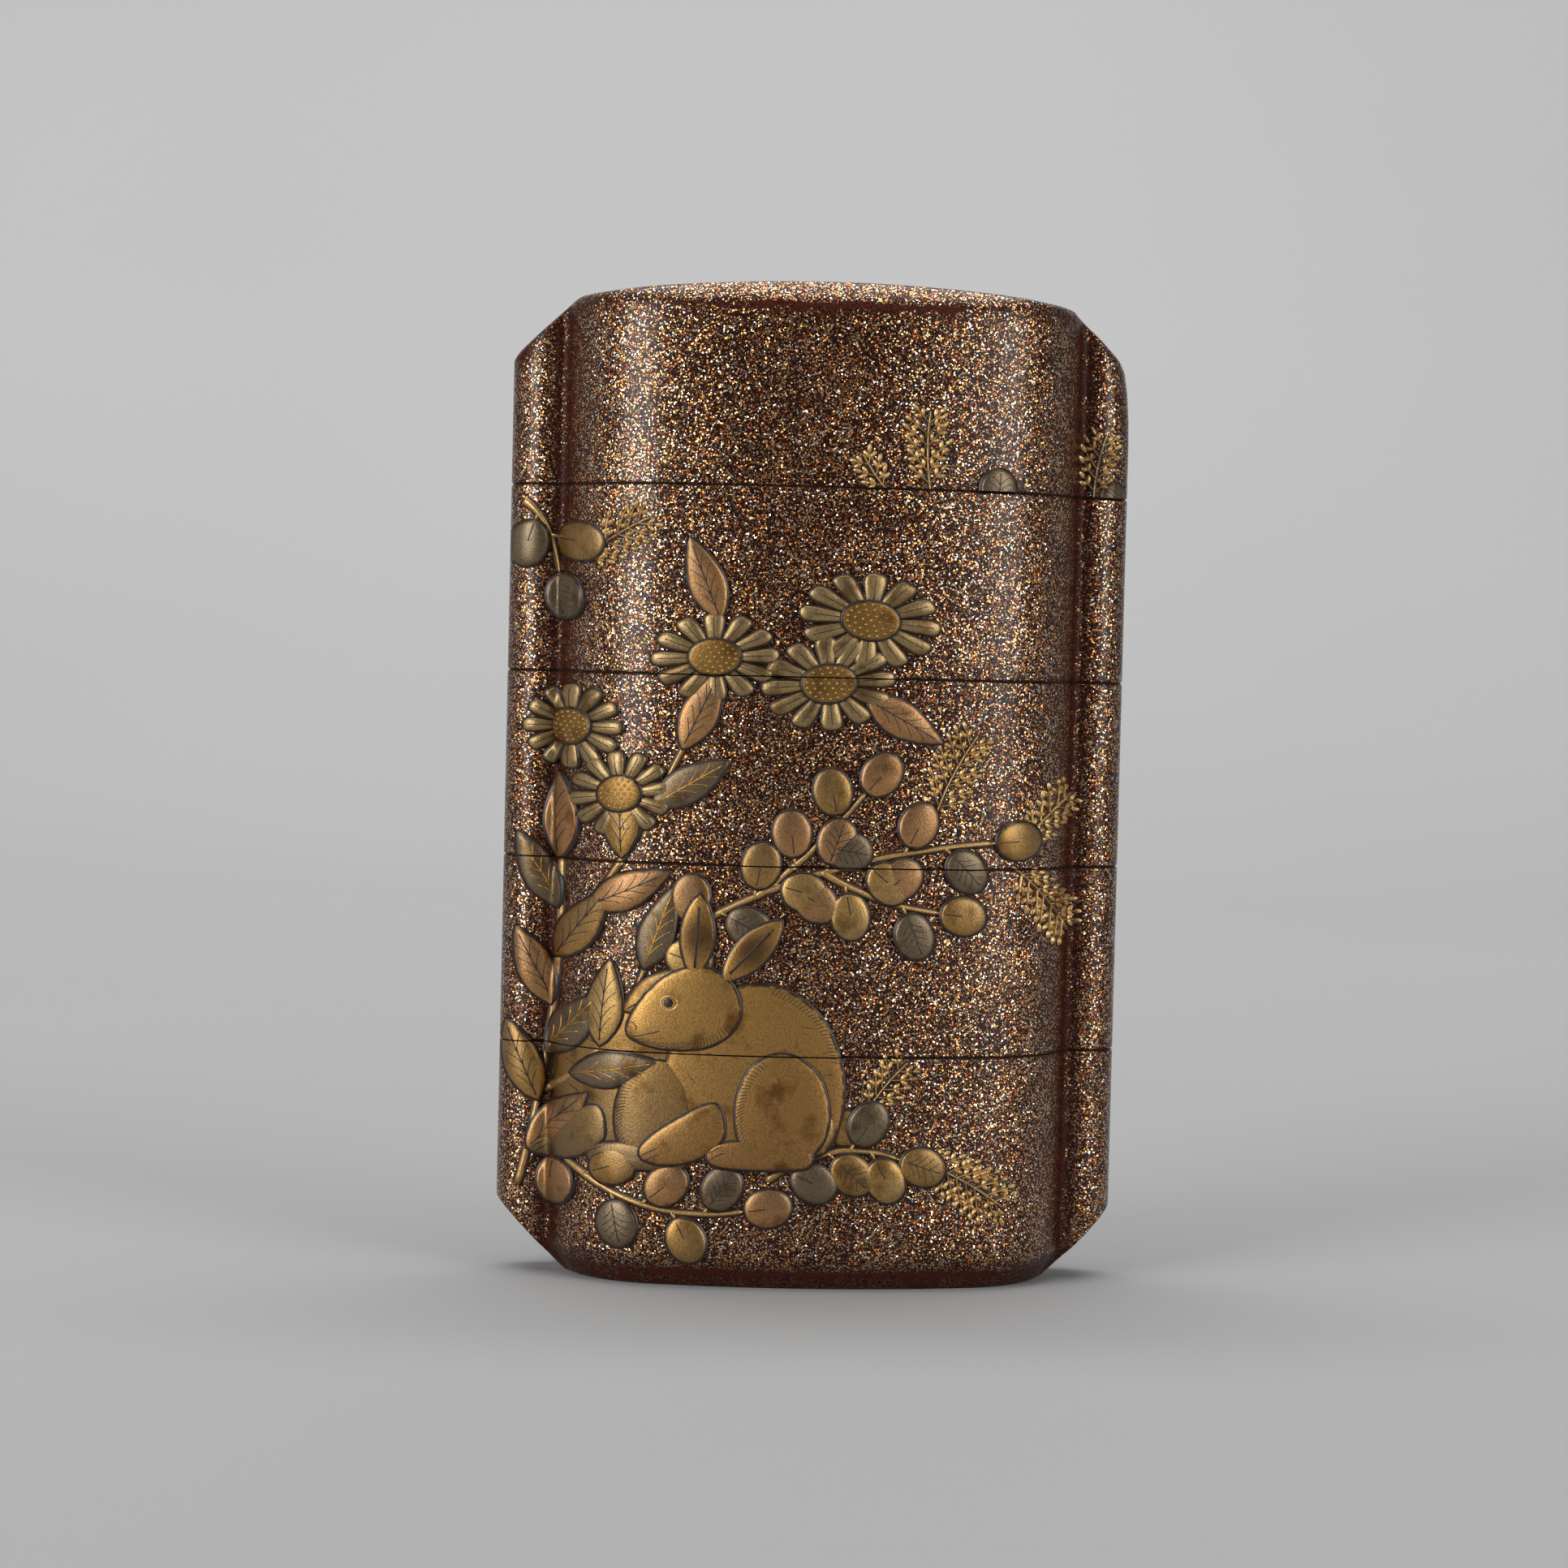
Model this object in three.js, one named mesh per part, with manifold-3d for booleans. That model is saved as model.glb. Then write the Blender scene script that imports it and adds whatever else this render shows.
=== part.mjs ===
// An inro case: a lid, three trays and a bottom case that stack into one flat carrying case.
// Millimetres, +Z up. The origin is the centre of the underside and the front faces -Y.
import * as THREE from 'three';
import { mergeVertices } from 'three/addons/utils/BufferGeometryUtils.js';
import Module from 'manifold-3d';

const wasm = await Module();
wasm.setup();

// Body
const WIDTH = 54;
const DEPTH = 25;
const FRONT_RADIUS = 60;
const SHOULDER_RADIUS = 11.5;

// Half-round cord ribs at the narrow sides, and the cord channel in each
const RIB_RADIUS = 3.1;
const RIB_PROUD = 4.2;
const VALLEY_RADIUS = 1.5;
const CHANNEL_RADIUS = 1.2;
const CHANNEL_WEB = 1;

// Stack, from the base up
const BOTTOM_CASE_HEIGHT = 20.1;
const TRAY_HEIGHT = 16.1;
const TRAY_COUNT = 3;
const LID_HEIGHT = 17.4;

// Walls and fits
const OUTER_WALL = 1.2;
const RISER_THICKNESS = 1;
const RISER_HEIGHT = 5;
const FIT_CLEARANCE = 0.2;
const HEAD_CLEARANCE = 0.3;
const TRAY_FLOOR = 1.3;
const BASE_FLOOR = 2;
const LID_CEILING = 2.6;

// Bevels round the top and the base, corner facets across the ribs, and the crown of the lid
const TOP_BEVEL_HEIGHT = 1.8;
const TOP_BEVEL_WIDTH = 1.6;
const BASE_BEVEL_HEIGHT = 2.6;
const BASE_BEVEL_WIDTH = 1.8;
const TOP_FACET_WIDTH = 6.9;
const TOP_FACET_HEIGHT = 6.4;
const BASE_FACET_WIDTH = 6.5;
const BASE_FACET_HEIGHT = 6.3;
const CROWN_RADIUS = 185;

// Height of the raised picture above the ground, figure by figure
const STEM_RELIEF = 0.35;
const LEAF_RELIEF = 0.5;
const PETAL_RELIEF = 0.45;
const DISC_RELIEF = 0.75;
const COAT_RELIEF = 0.55;
const NEAR_COAT_RELIEF = 0.8;

// Widths of stems and stalks
const STEM_WIDTH = 0.7;
const STALK_WIDTH = 0.5;

// Sides of the faceted curves
const FRONT_STEPS = 4;
const SHOULDER_STEPS = 4;
const INNER_SHOULDER_STEPS = 3;
const VALLEY_STEPS = 2;
const RIB_STEPS = 6;
const CROWN_STEPS = 6;
const CHANNEL_SIDES = 8;
const LEAF_STEPS = 4;
const OVAL_SIDE = 2.2;
const FEWEST_OVAL_SIDES = 8;
const STEM_STEPS = 4;
const PETAL_COUNT = 12;
const FROND_LOBES = 3;

// Shares that shape the plants: how far a leaf stands back along its stem, the daisy's disc, the
// half width of a petal and the depth of the gap beside it, and the frond's width and notches
const LEAF_SETBACK = 0.2;
const DISC_SHARE = 0.84;
const PETAL_HALF_WIDTH = 0.22;
const PETAL_GAP_REACH = 0.5;
const FROND_WIDTH_SHARE = 0.42;
const FROND_NOTCH_SHARE = 0.35;

// How far a cutting tool reaches past what it cuts
const OVERCUT = 1;

// The places that the plan of the body is drawn from
const height = BOTTOM_CASE_HEIGHT + TRAY_COUNT * TRAY_HEIGHT + LID_HEIGHT;
const ribCentre = new THREE.Vector2(WIDTH / 2 - RIB_RADIUS, 0);
const frontCentre = new THREE.Vector2(0, FRONT_RADIUS - DEPTH / 2);
const shoulderCentre = findShoulderCentre();
const valleyCentre = findValleyCentre();
const shoulderStart = Math.atan2(shoulderCentre.x, frontCentre.y - shoulderCentre.y) - Math.PI / 2;

// The shoulder arc ends RIB_PROUD short of the rib and runs smoothly into the front arc
function findShoulderCentre() {
  const x = WIDTH / 2 - RIB_PROUD - SHOULDER_RADIUS;
  const y = frontCentre.y - Math.sqrt((FRONT_RADIUS - SHOULDER_RADIUS) ** 2 - x ** 2);
  return new THREE.Vector2(x, y);
}

// The valley arc touches both the shoulder and the rib
function findValleyCentre() {
  const toShoulder = SHOULDER_RADIUS + VALLEY_RADIUS;
  const toRib = RIB_RADIUS + VALLEY_RADIUS;
  const across = ribCentre.clone().sub(shoulderCentre);
  const apart = across.length();
  const along = (toShoulder ** 2 - toRib ** 2 + apart ** 2) / (2 * apart);
  const aside = Math.sqrt(toShoulder ** 2 - along ** 2);
  const unit = across.divideScalar(apart);
  return new THREE.Vector2(
    shoulderCentre.x + along * unit.x + aside * unit.y,
    shoulderCentre.y + along * unit.y - aside * unit.x,
  );
}

function mirrored(point) {
  return new THREE.Vector2(point.x, -point.y);
}

function bearing(from, to) {
  return Math.atan2(to.y - from.y, to.x - from.x);
}

// Points along an arc, without its last one
function arcPoints(centre, radius, start, end, steps) {
  const points = [];
  for (let step = 0; step < steps; step += 1) {
    const angle = start + ((end - start) * step) / steps;
    points.push(new THREE.Vector2(
      centre.x + radius * Math.cos(angle),
      centre.y + radius * Math.sin(angle),
    ));
  }
  return points;
}

// A closed outline from the arcs of its right half, repeated by a half turn
function halfTurnShape(arcs) {
  const half = arcs.flatMap((arc) => arcPoints(...arc));
  const other = half.map((point) => point.clone().negate());
  return new THREE.Shape([...half, ...other]);
}

// Plan of the body with its ribs, moved inwards by inset
function bodyPlan(inset) {
  const shoulder = SHOULDER_RADIUS - inset;
  const valley = VALLEY_RADIUS + inset;
  const shoulderEnd = bearing(shoulderCentre, valleyCentre);
  const toShoulder = bearing(valleyCentre, shoulderCentre);
  const toRib = bearing(valleyCentre, ribCentre);
  const ribStart = bearing(ribCentre, valleyCentre);
  const backValley = mirrored(valleyCentre);
  const backShoulder = mirrored(shoulderCentre);
  return halfTurnShape([
    [frontCentre, FRONT_RADIUS - inset, -Math.PI - shoulderStart, shoulderStart, FRONT_STEPS],
    [shoulderCentre, shoulder, shoulderStart, shoulderEnd, SHOULDER_STEPS],
    [valleyCentre, valley, toShoulder, toRib, VALLEY_STEPS],
    [ribCentre, RIB_RADIUS - inset, ribStart, -ribStart, RIB_STEPS],
    [backValley, valley, -toRib, -toShoulder, VALLEY_STEPS],
    [backShoulder, shoulder, -shoulderEnd, -shoulderStart, SHOULDER_STEPS],
  ]);
}

// Plan of the body without ribs, moved inwards by inset
function lensPlan(inset) {
  const shoulder = SHOULDER_RADIUS - inset;
  const tip = Math.min(0, -Math.asin(shoulderCentre.y / shoulder));
  return halfTurnShape([
    [frontCentre, FRONT_RADIUS - inset, -Math.PI - shoulderStart, shoulderStart, FRONT_STEPS],
    [shoulderCentre, shoulder, shoulderStart, tip, INNER_SHOULDER_STEPS],
    [mirrored(shoulderCentre), shoulder, -tip, -shoulderStart, INNER_SHOULDER_STEPS],
  ]);
}

// A solid for joining and cutting, from a closed geometry
function toSolid(geometry) {
  const bare = geometry.clone();
  bare.deleteAttribute('normal');
  bare.deleteAttribute('uv');
  const merged = mergeVertices(bare);
  return new wasm.Manifold(new wasm.Mesh({
    numProp: 3,
    vertProperties: Float32Array.from(merged.attributes.position.array),
    triVerts: Uint32Array.from(merged.index.array),
  }));
}

function toGeometry(solid) {
  const mesh = solid.getMesh();
  const geometry = new THREE.BufferGeometry();
  geometry.setAttribute('position', new THREE.BufferAttribute(mesh.vertProperties, 3));
  geometry.setIndex(new THREE.BufferAttribute(mesh.triVerts, 1));
  return geometry;
}

function joined(solids) {
  return solids.reduce((whole, solid) => whole.add(solid));
}

// An upright prism on a plan, from low to high
function column(plan, low, high) {
  const geometry = new THREE.ExtrudeGeometry(plan, { depth: high - low, bevelEnabled: false });
  geometry.translate(0, 0, low);
  return toSolid(geometry);
}

// The same with both ends bevelled
function bevelledColumn(plan, low, high, bevelHeight, bevelWidth) {
  const geometry = new THREE.ExtrudeGeometry(plan, {
    depth: high - low - 2 * bevelHeight,
    bevelThickness: bevelHeight,
    bevelSize: bevelWidth,
    bevelOffset: -bevelWidth,
    bevelSegments: 1,
  });
  geometry.translate(0, 0, low + bevelHeight);
  return toSolid(geometry);
}

// A box centred across and along, from low to high
function block(width, depth, low, high) {
  const geometry = new THREE.BoxGeometry(width, depth, high - low);
  geometry.translate(0, 0, (low + high) / 2);
  return toSolid(geometry);
}

// Front view of the body: a flat base, corner facets across the ribs and a crowned top
function frontView() {
  const reach = WIDTH / 2 + OVERCUT;
  const topSlope = TOP_FACET_HEIGHT / TOP_FACET_WIDTH;
  const baseSlope = BASE_FACET_HEIGHT / BASE_FACET_WIDTH;
  const crownHalf = WIDTH / 2 - TOP_FACET_WIDTH;
  const crownDrop = CROWN_RADIUS - Math.sqrt(CROWN_RADIUS ** 2 - crownHalf ** 2);
  const crownEnd = crownHalf + crownDrop / topSlope;
  const crownCentre = new THREE.Vector2(0, height - CROWN_RADIUS);
  const crownAngle = Math.acos(crownEnd / CROWN_RADIUS);
  const crown = arcPoints(crownCentre, CROWN_RADIUS, crownAngle, Math.PI - crownAngle, CROWN_STEPS);
  const crownFoot = crownCentre.y + CROWN_RADIUS * Math.sin(crownAngle);
  const edge = [
    new THREE.Vector2(WIDTH / 2 - BASE_FACET_WIDTH, 0),
    new THREE.Vector2(reach, (reach - WIDTH / 2 + BASE_FACET_WIDTH) * baseSlope),
    new THREE.Vector2(reach, height - (reach - crownHalf) * topSlope),
  ];
  const left = edge.map((point) => new THREE.Vector2(-point.x, point.y)).reverse();
  return new THREE.Shape([...edge, ...crown, new THREE.Vector2(-crownEnd, crownFoot), ...left]);
}

// A prism through the body on an outline drawn in its front view, from near to far along Y
function sidewaysPrism(outline, near, far) {
  const geometry = new THREE.ExtrudeGeometry(outline, { depth: far - near, bevelEnabled: false });
  geometry.rotateX(Math.PI / 2);
  geometry.translate(0, far, 0);
  return toSolid(geometry);
}

// The solid form of the closed case, its walls moved outwards by growth
function caseForm(growth) {
  const plan = bodyPlan(-growth);
  const spare = TOP_BEVEL_HEIGHT + BASE_BEVEL_HEIGHT;
  const top = bevelledColumn(plan, -spare, height, TOP_BEVEL_HEIGHT, TOP_BEVEL_WIDTH);
  const base = bevelledColumn(plan, 0, height + spare, BASE_BEVEL_HEIGHT, BASE_BEVEL_WIDTH);
  return top.intersect(base).intersect(sidewaysPrism(frontView(), -DEPTH, DEPTH));
}

// Moves an outline's points to a place in the picture, after turning them
function placed(points, place, angle) {
  return points.map((point) => point.clone().rotateAround(new THREE.Vector2(), angle).add(place));
}

// A pointed leaf from its foot at the origin along +X
function leafPoints({ length, width }) {
  const points = [];
  for (let step = 0; step < 2 * LEAF_STEPS; step += 1) {
    const along = step <= LEAF_STEPS ? step / LEAF_STEPS : 2 - step / LEAF_STEPS;
    const side = step <= LEAF_STEPS ? -1 : 1;
    points.push(new THREE.Vector2(along * length, (side * width * Math.sin(Math.PI * along)) / 2));
  }
  return points;
}

// An oval about the origin, from its +X end round
function ovalPoints(length, width, from, to) {
  const share = (to - from) / (2 * Math.PI);
  const sides = Math.max(FEWEST_OVAL_SIDES, Math.round((Math.PI * length) / OVAL_SIDE));
  const circle = arcPoints(new THREE.Vector2(), 1, from, to, Math.round(sides * share));
  return circle.map((point) => new THREE.Vector2((point.x * length) / 2, (point.y * width) / 2));
}

// A round leaf on a stalk that leaves the stem at the origin along +X
function roundLeafPoints({ length, width, stalk }) {
  const opening = Math.PI / 8;
  const blade = ovalPoints(length, width, opening - Math.PI, Math.PI - opening);
  const stem = [new THREE.Vector2(0, STALK_WIDTH / 2), new THREE.Vector2(0, -STALK_WIDTH / 2)];
  return [...stem, ...blade.map((point) => point.add(new THREE.Vector2(stalk + length / 2, 0)))];
}

// A frond of tiny leaves as one outline with a lobe for each pair
function frondPoints(length, width) {
  const side = [];
  for (let step = 1; step < 2 * FROND_LOBES; step += 1) {
    const along = step / (2 * FROND_LOBES);
    const spread = step % 2 === 0 ? FROND_NOTCH_SHARE : 1;
    const half = (spread * width * Math.sqrt(Math.sin(Math.PI * along))) / 2;
    side.push(new THREE.Vector2(along * length, -half));
  }
  const tip = new THREE.Vector2(length, 0);
  const back = side.map(mirrored).reverse();
  return [new THREE.Vector2(), ...side, tip, ...back];
}

// A strip of even width along a curve
function stripPoints(curve, width) {
  const right = [];
  const left = [];
  for (let step = 0; step <= STEM_STEPS; step += 1) {
    const point = curve.getPoint(step / STEM_STEPS);
    const tangent = curve.getTangent(step / STEM_STEPS);
    const across = new THREE.Vector2(tangent.y, -tangent.x).multiplyScalar(width / 2);
    right.push(point.clone().add(across));
    left.push(point.clone().sub(across));
  }
  return [...right, ...left.reverse()];
}

// A place in the picture, given as shares of the half width and of the height
function spot([across, up]) {
  return new THREE.Vector2((across * WIDTH) / 2, up * height);
}

function figure(points, relief) {
  return { shape: new THREE.Shape(points), relief };
}

// A single leaf from its foot
function leaf({ at, angle, ...size }) {
  return [figure(placed(leafPoints(size), spot(at), angle), LEAF_RELIEF)];
}

// A stem with leaves along it, in turn on its two sides, and one near its tip
function sprig({ from, bow, to, leaves, splay, round, ...size }) {
  const curve = new THREE.QuadraticBezierCurve(spot(from), spot(bow), spot(to));
  const outline = round ? roundLeafPoints(size) : leafPoints(size);
  const figures = [figure(stripPoints(curve, STEM_WIDTH), STEM_RELIEF)];
  for (let index = 1; index <= leaves; index += 1) {
    const at = (index - LEAF_SETBACK) / leaves;
    const side = index % 2 === 0 ? 1 : -1;
    const turn = index === leaves ? 0 : side * splay;
    const angle = bearing(new THREE.Vector2(), curve.getTangent(at)) + turn;
    figures.push(figure(placed(outline, curve.getPoint(at), angle), LEAF_RELIEF));
  }
  return figures;
}

// A daisy: a ring of blunt petals round a raised oval disc
function daisy({ at, radius, squash, turn }) {
  const place = spot(at);
  const across = DISC_SHARE * radius;
  const disc = ovalPoints(across, across * squash, 0, 2 * Math.PI);
  const petals = [];
  for (let petal = 0; petal < PETAL_COUNT; petal += 1) {
    for (const [offset, reach] of [[-PETAL_HALF_WIDTH, 1], [PETAL_HALF_WIDTH, 1], [0.5, PETAL_GAP_REACH]]) {
      const angle = (2 * Math.PI * (petal + offset)) / PETAL_COUNT;
      const tip = new THREE.Vector2(Math.cos(angle), squash * Math.sin(angle));
      petals.push(tip.multiplyScalar(reach * radius));
    }
  }
  return [
    figure(placed(petals, place, turn), PETAL_RELIEF),
    figure(placed(disc, place, turn), DISC_RELIEF),
  ];
}

// Outlines of a resting rabbit as shares of its length, forwards and up from under its middle
const RABBIT = {
  coat: [
    [0.3, 0.12], [0.36, 0.34], [0.34, 0.6], [0.12, 0.84], [-0.14, 0.9],
    [-0.38, 0.76], [-0.5, 0.5], [-0.5, 0.26], [-0.4, 0.06], [-0.05, 0.03],
  ],
  haunch: [
    [-0.02, 0.08], [0.02, 0.3], [-0.06, 0.5], [-0.22, 0.56], [-0.38, 0.46],
    [-0.44, 0.26], [-0.38, 0.08], [-0.2, 0.03],
  ],
  head: [
    [0.56, 0.66], [0.5, 0.8], [0.36, 0.94], [0.18, 0.98], [0.04, 0.88],
    [0.02, 0.72], [0.14, 0.6], [0.34, 0.57], [0.5, 0.6],
  ],
  foreleg: [
    [0.12, 0.3], [0.3, 0.22], [0.46, 0.1], [0.48, 0.02], [0.36, -0.01], [0.2, 0.03],
    [0.08, 0.14],
  ],
  foot: [
    [-0.34, 0.08], [-0.1, 0.12], [0.1, 0.1], [0.16, 0.04], [0.1, -0.01],
    [-0.15, -0.02], [-0.34, 0],
  ],
  tail: [
    [-0.46, 0.24], [-0.54, 0.28], [-0.62, 0.22], [-0.58, 0.12], [-0.48, 0.12],
  ],
};
const EAR = { length: 0.42, width: 0.16 };
const EAR_ROOTS = [[0.24, 0.93, -0.05], [0.1, 0.92, -0.75]];
const CURVE_SHARE = 1.6;

// A smooth closed outline of a rabbit's part, facing -X or +X
function rabbitPart({ at, length, facing }, outline, relief) {
  const corners = outline.map(([ahead, up]) => new THREE.Vector3(facing * ahead * length, up * length, 0));
  const curve = new THREE.CatmullRomCurve3(corners, true);
  const round = curve.getPoints(Math.round(CURVE_SHARE * corners.length)).slice(1);
  const flat = round.map((point) => new THREE.Vector2(point.x, point.y));
  return figure(placed(facing < 0 ? flat.reverse() : flat, spot(at), 0), relief);
}

function rabbitBody(rabbit) {
  return [
    rabbitPart(rabbit, RABBIT.tail, COAT_RELIEF),
    rabbitPart(rabbit, RABBIT.coat, COAT_RELIEF),
    rabbitPart(rabbit, RABBIT.haunch, NEAR_COAT_RELIEF),
    rabbitPart(rabbit, RABBIT.foreleg, NEAR_COAT_RELIEF),
    rabbitPart(rabbit, RABBIT.foot, NEAR_COAT_RELIEF),
  ];
}

function rabbitHead(rabbit) {
  const { at, length, facing } = rabbit;
  const ears = EAR_ROOTS.map(([ahead, up, lean]) => {
    const root = spot(at).add(new THREE.Vector2(facing * ahead * length, up * length));
    const points = leafPoints({ length: EAR.length * length, width: EAR.width * length });
    return figure(placed(points, root, Math.PI / 2 - facing * lean), COAT_RELIEF);
  });
  return [rabbitPart(rabbit, RABBIT.head, NEAR_COAT_RELIEF), ...ears];
}

function frond({ at, angle, length }) {
  const points = frondPoints(length, length * FROND_WIDTH_SHARE);
  return [figure(placed(points, spot(at), angle), STEM_RELIEF)];
}

// Leaf kinds of the picture
const LANCE = { length: 7.4, width: 2.9, splay: 0.55, round: false };
const COIN = { length: 3.9, width: 3.2, stalk: 0.8, splay: 0.95, round: true };

// The picture on the front. Each place is a share of the half width and of the height.
function frontPicture() {
  const nearRabbit = { at: [-0.235, 0.1265], length: 17, facing: -1 };
  const farRabbit = { at: [-0.611, 0.1212], length: 16, facing: -1 };
  return [
    sprig({ ...LANCE, from: [-0.933, 0.087], bow: [-0.796, 0.256], to: [-0.815, 0.431], leaves: 7 }),
    sprig({ ...LANCE, from: [-0.844, 0.186], bow: [-0.63, 0.233], to: [-0.537, 0.326], leaves: 4 }),
    sprig({ ...LANCE, from: [-0.8, 0.338], bow: [-0.593, 0.431], to: [-0.426, 0.548], leaves: 4 }),
    leaf({ ...LANCE, at: [-0.333, 0.664], angle: 1.95 }),
    leaf({ ...LANCE, at: [0.13, 0.589], angle: -0.5 }),
    sprig({ ...COIN, from: [-0.574, 0.321], bow: [-0.148, 0.431], to: [0.556, 0.449], leaves: 10 }),
    sprig({ ...COIN, from: [-0.204, 0.392], bow: [-0.037, 0.431], to: [0.13, 0.495], leaves: 5 }),
    sprig({ ...COIN, from: [0.004, 0.416], bow: [0.185, 0.385], to: [0.372, 0.38], leaves: 4 }),
    sprig({ ...COIN, from: [-0.87, 0.146], bow: [-0.593, 0.058], to: [-0.222, 0.079], leaves: 7 }),
    sprig({ ...COIN, from: [-0.148, 0.111], bow: [0.056, 0.157], to: [0.259, 0.134], leaves: 6 }),
    sprig({ ...COIN, from: [-0.956, 0.78], bow: [-0.867, 0.763], to: [-0.837, 0.709], leaves: 3 }),
    daisy({ at: [-0.348, 0.627], radius: 5.3, squash: 0.7, turn: 0.05 }),
    daisy({ at: [0.133, 0.667], radius: 6, squash: 0.66, turn: -0.1 }),
    daisy({ at: [0.007, 0.604], radius: 5.6, squash: 0.7, turn: 0.1 }),
    daisy({ at: [-0.785, 0.555], radius: 4.2, squash: 0.86, turn: 0 }),
    daisy({ at: [-0.633, 0.489], radius: 4.2, squash: 0.86, turn: 0.13 }),
    rabbitBody(farRabbit),
    rabbitBody(nearRabbit),
    rabbitHead(nearRabbit),
    frond({ at: [0.352, 0.472], angle: 1.1, length: 8 }),
    frond({ at: [0.63, 0.443], angle: 0.74, length: 7 }),
    frond({ at: [0.611, 0.425], angle: -0.8, length: 8 }),
    frond({ at: [0.148, 0.175], angle: 0.9, length: 6 }),
    frond({ at: [0.315, 0.134], angle: -0.5, length: 9 }),
    frond({ at: [-0.778, 0.717], angle: 0.6, length: 7 }),
  ].flat();
}

// The picture on the back, in the same way and plainer
function backPicture() {
  return [
    sprig({ ...LANCE, from: [-0.933, 0.093], bow: [-0.741, 0.256], to: [-0.444, 0.361], leaves: 6 }),
    sprig({ ...COIN, from: [-0.63, 0.303], bow: [-0.222, 0.35], to: [0.148, 0.268], leaves: 7 }),
    sprig({ ...COIN, from: [-0.956, 0.78], bow: [-0.704, 0.781], to: [-0.519, 0.723], leaves: 4 }),
    daisy({ at: [-0.348, 0.42], radius: 5.3, squash: 0.8, turn: 0.1 }),
  ].flat();
}

// The lid's own picture stops at its rim, because the lid is stacked back to front
function lidFrontPicture() {
  return [
    frond({ at: [0.315, 0.793], angle: 1.6, length: 7 }),
    frond({ at: [0.185, 0.793], angle: 2.2, length: 4 }),
    frond({ at: [0.874, 0.793], angle: 1.4, length: 6 }),
    leaf({ ...LANCE, at: [0.519, 0.774], angle: 1.2, length: 4.2 }),
  ].flat();
}

function lidBackPicture() {
  return sprig({ ...COIN, from: [0.704, 0.781], bow: [0.519, 0.828], to: [0.296, 0.822], leaves: 4 });
}

// Raises a picture's figures on one face of the form, on the side of -Y or +Y
function raisedPicture(figures, side) {
  const near = side < 0 ? -DEPTH : 0;
  const levels = [...new Set(figures.map((item) => item.relief))];
  return levels.map((relief) => {
    const prisms = figures
      .filter((item) => item.relief === relief)
      .map((item) => sidewaysPrism(item.shape, near, near + DEPTH));
    return joined(prisms).intersect(caseForm(relief));
  });
}

const recessEnd = ribCentre.x - CHANNEL_RADIUS - CHANNEL_WEB;
const riserInset = OUTER_WALL + FIT_CLEARANCE;
const riserEnd = recessEnd - FIT_CLEARANCE;
const hollowInset = riserInset + RISER_THICKNESS;
const hollowEnd = riserEnd - RISER_THICKNESS;

// The space inside a wall of even inset, cut square short of the cord channels
function innerColumn(inset, end, low, high) {
  return column(lensPlan(inset), low, high).intersect(block(2 * end, 2 * DEPTH, low, high));
}

function cordChannels() {
  return joined([-1, 1].map((side) => {
    const length = height + 2 * OVERCUT;
    const geometry = new THREE.CylinderGeometry(CHANNEL_RADIUS, CHANNEL_RADIUS, length, CHANNEL_SIDES);
    geometry.rotateX(Math.PI / 2);
    geometry.translate(side * ribCentre.x, 0, height / 2);
    return toSolid(geometry);
  }));
}

// One piece of the stack, cut from the carved form between two seams
function stackPiece(form, low, high, hollow) {
  let solid = form.intersect(block(2 * WIDTH, 2 * DEPTH, low, high));
  if (hollow.riser) {
    solid = solid.add(innerColumn(riserInset, riserEnd, hollow.floor, high + RISER_HEIGHT));
    const top = high + RISER_HEIGHT + OVERCUT;
    solid = solid.subtract(innerColumn(hollowInset, hollowEnd, hollow.floor, top));
  }
  if (hollow.ceiling) {
    solid = solid.subtract(innerColumn(OUTER_WALL, recessEnd, low - OVERCUT, hollow.ceiling));
  }
  return solid;
}

// Lacquer with dense gold and silver flakes over red-brown
function flakedLacquer() {
  return new THREE.MeshStandardMaterial({ color: 0x8a5f40, roughness: 0.35, metalness: 0.5 });
}

function namedMesh(name, solid) {
  const mesh = new THREE.Mesh(toGeometry(solid), flakedLacquer());
  mesh.name = name;
  return mesh;
}

// The closed case with its picture and its cord channels
function carvedForm(front, back) {
  const raised = [...raisedPicture(front, -1), ...raisedPicture(back, 1)];
  return joined([caseForm(0), ...raised]).subtract(cordChannels());
}

function buildInro() {
  const form = carvedForm(frontPicture(), backPicture());
  const lidForm = carvedForm(lidFrontPicture(), lidBackPicture());
  const recessDepth = RISER_HEIGHT + HEAD_CLEARANCE;
  const inro = new THREE.Group();

  const bottom = { floor: BASE_FLOOR, riser: true };
  inro.add(namedMesh(`case_${TRAY_COUNT + 1}`, stackPiece(form, 0, BOTTOM_CASE_HEIGHT, bottom)));

  let low = BOTTOM_CASE_HEIGHT;
  for (let tray = TRAY_COUNT; tray >= 1; tray -= 1) {
    const ceiling = low + recessDepth;
    const hollow = { ceiling, floor: ceiling + TRAY_FLOOR, riser: true };
    inro.add(namedMesh(`case_${tray}`, stackPiece(form, low, low + TRAY_HEIGHT, hollow)));
    low += TRAY_HEIGHT;
  }

  const lid = { ceiling: height - LID_CEILING, riser: false };
  inro.add(namedMesh('lid', stackPiece(lidForm, low, height, lid)));
  return inro;
}

export default buildInro();
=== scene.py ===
"""An inro case: five stacked lacquer pieces with cord ribs and a raised gold picture."""
import math
import random

import bmesh
import bpy
import numpy as np
from mathutils import Matrix, Vector
from mathutils.geometry import tessellate_polygon


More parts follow.
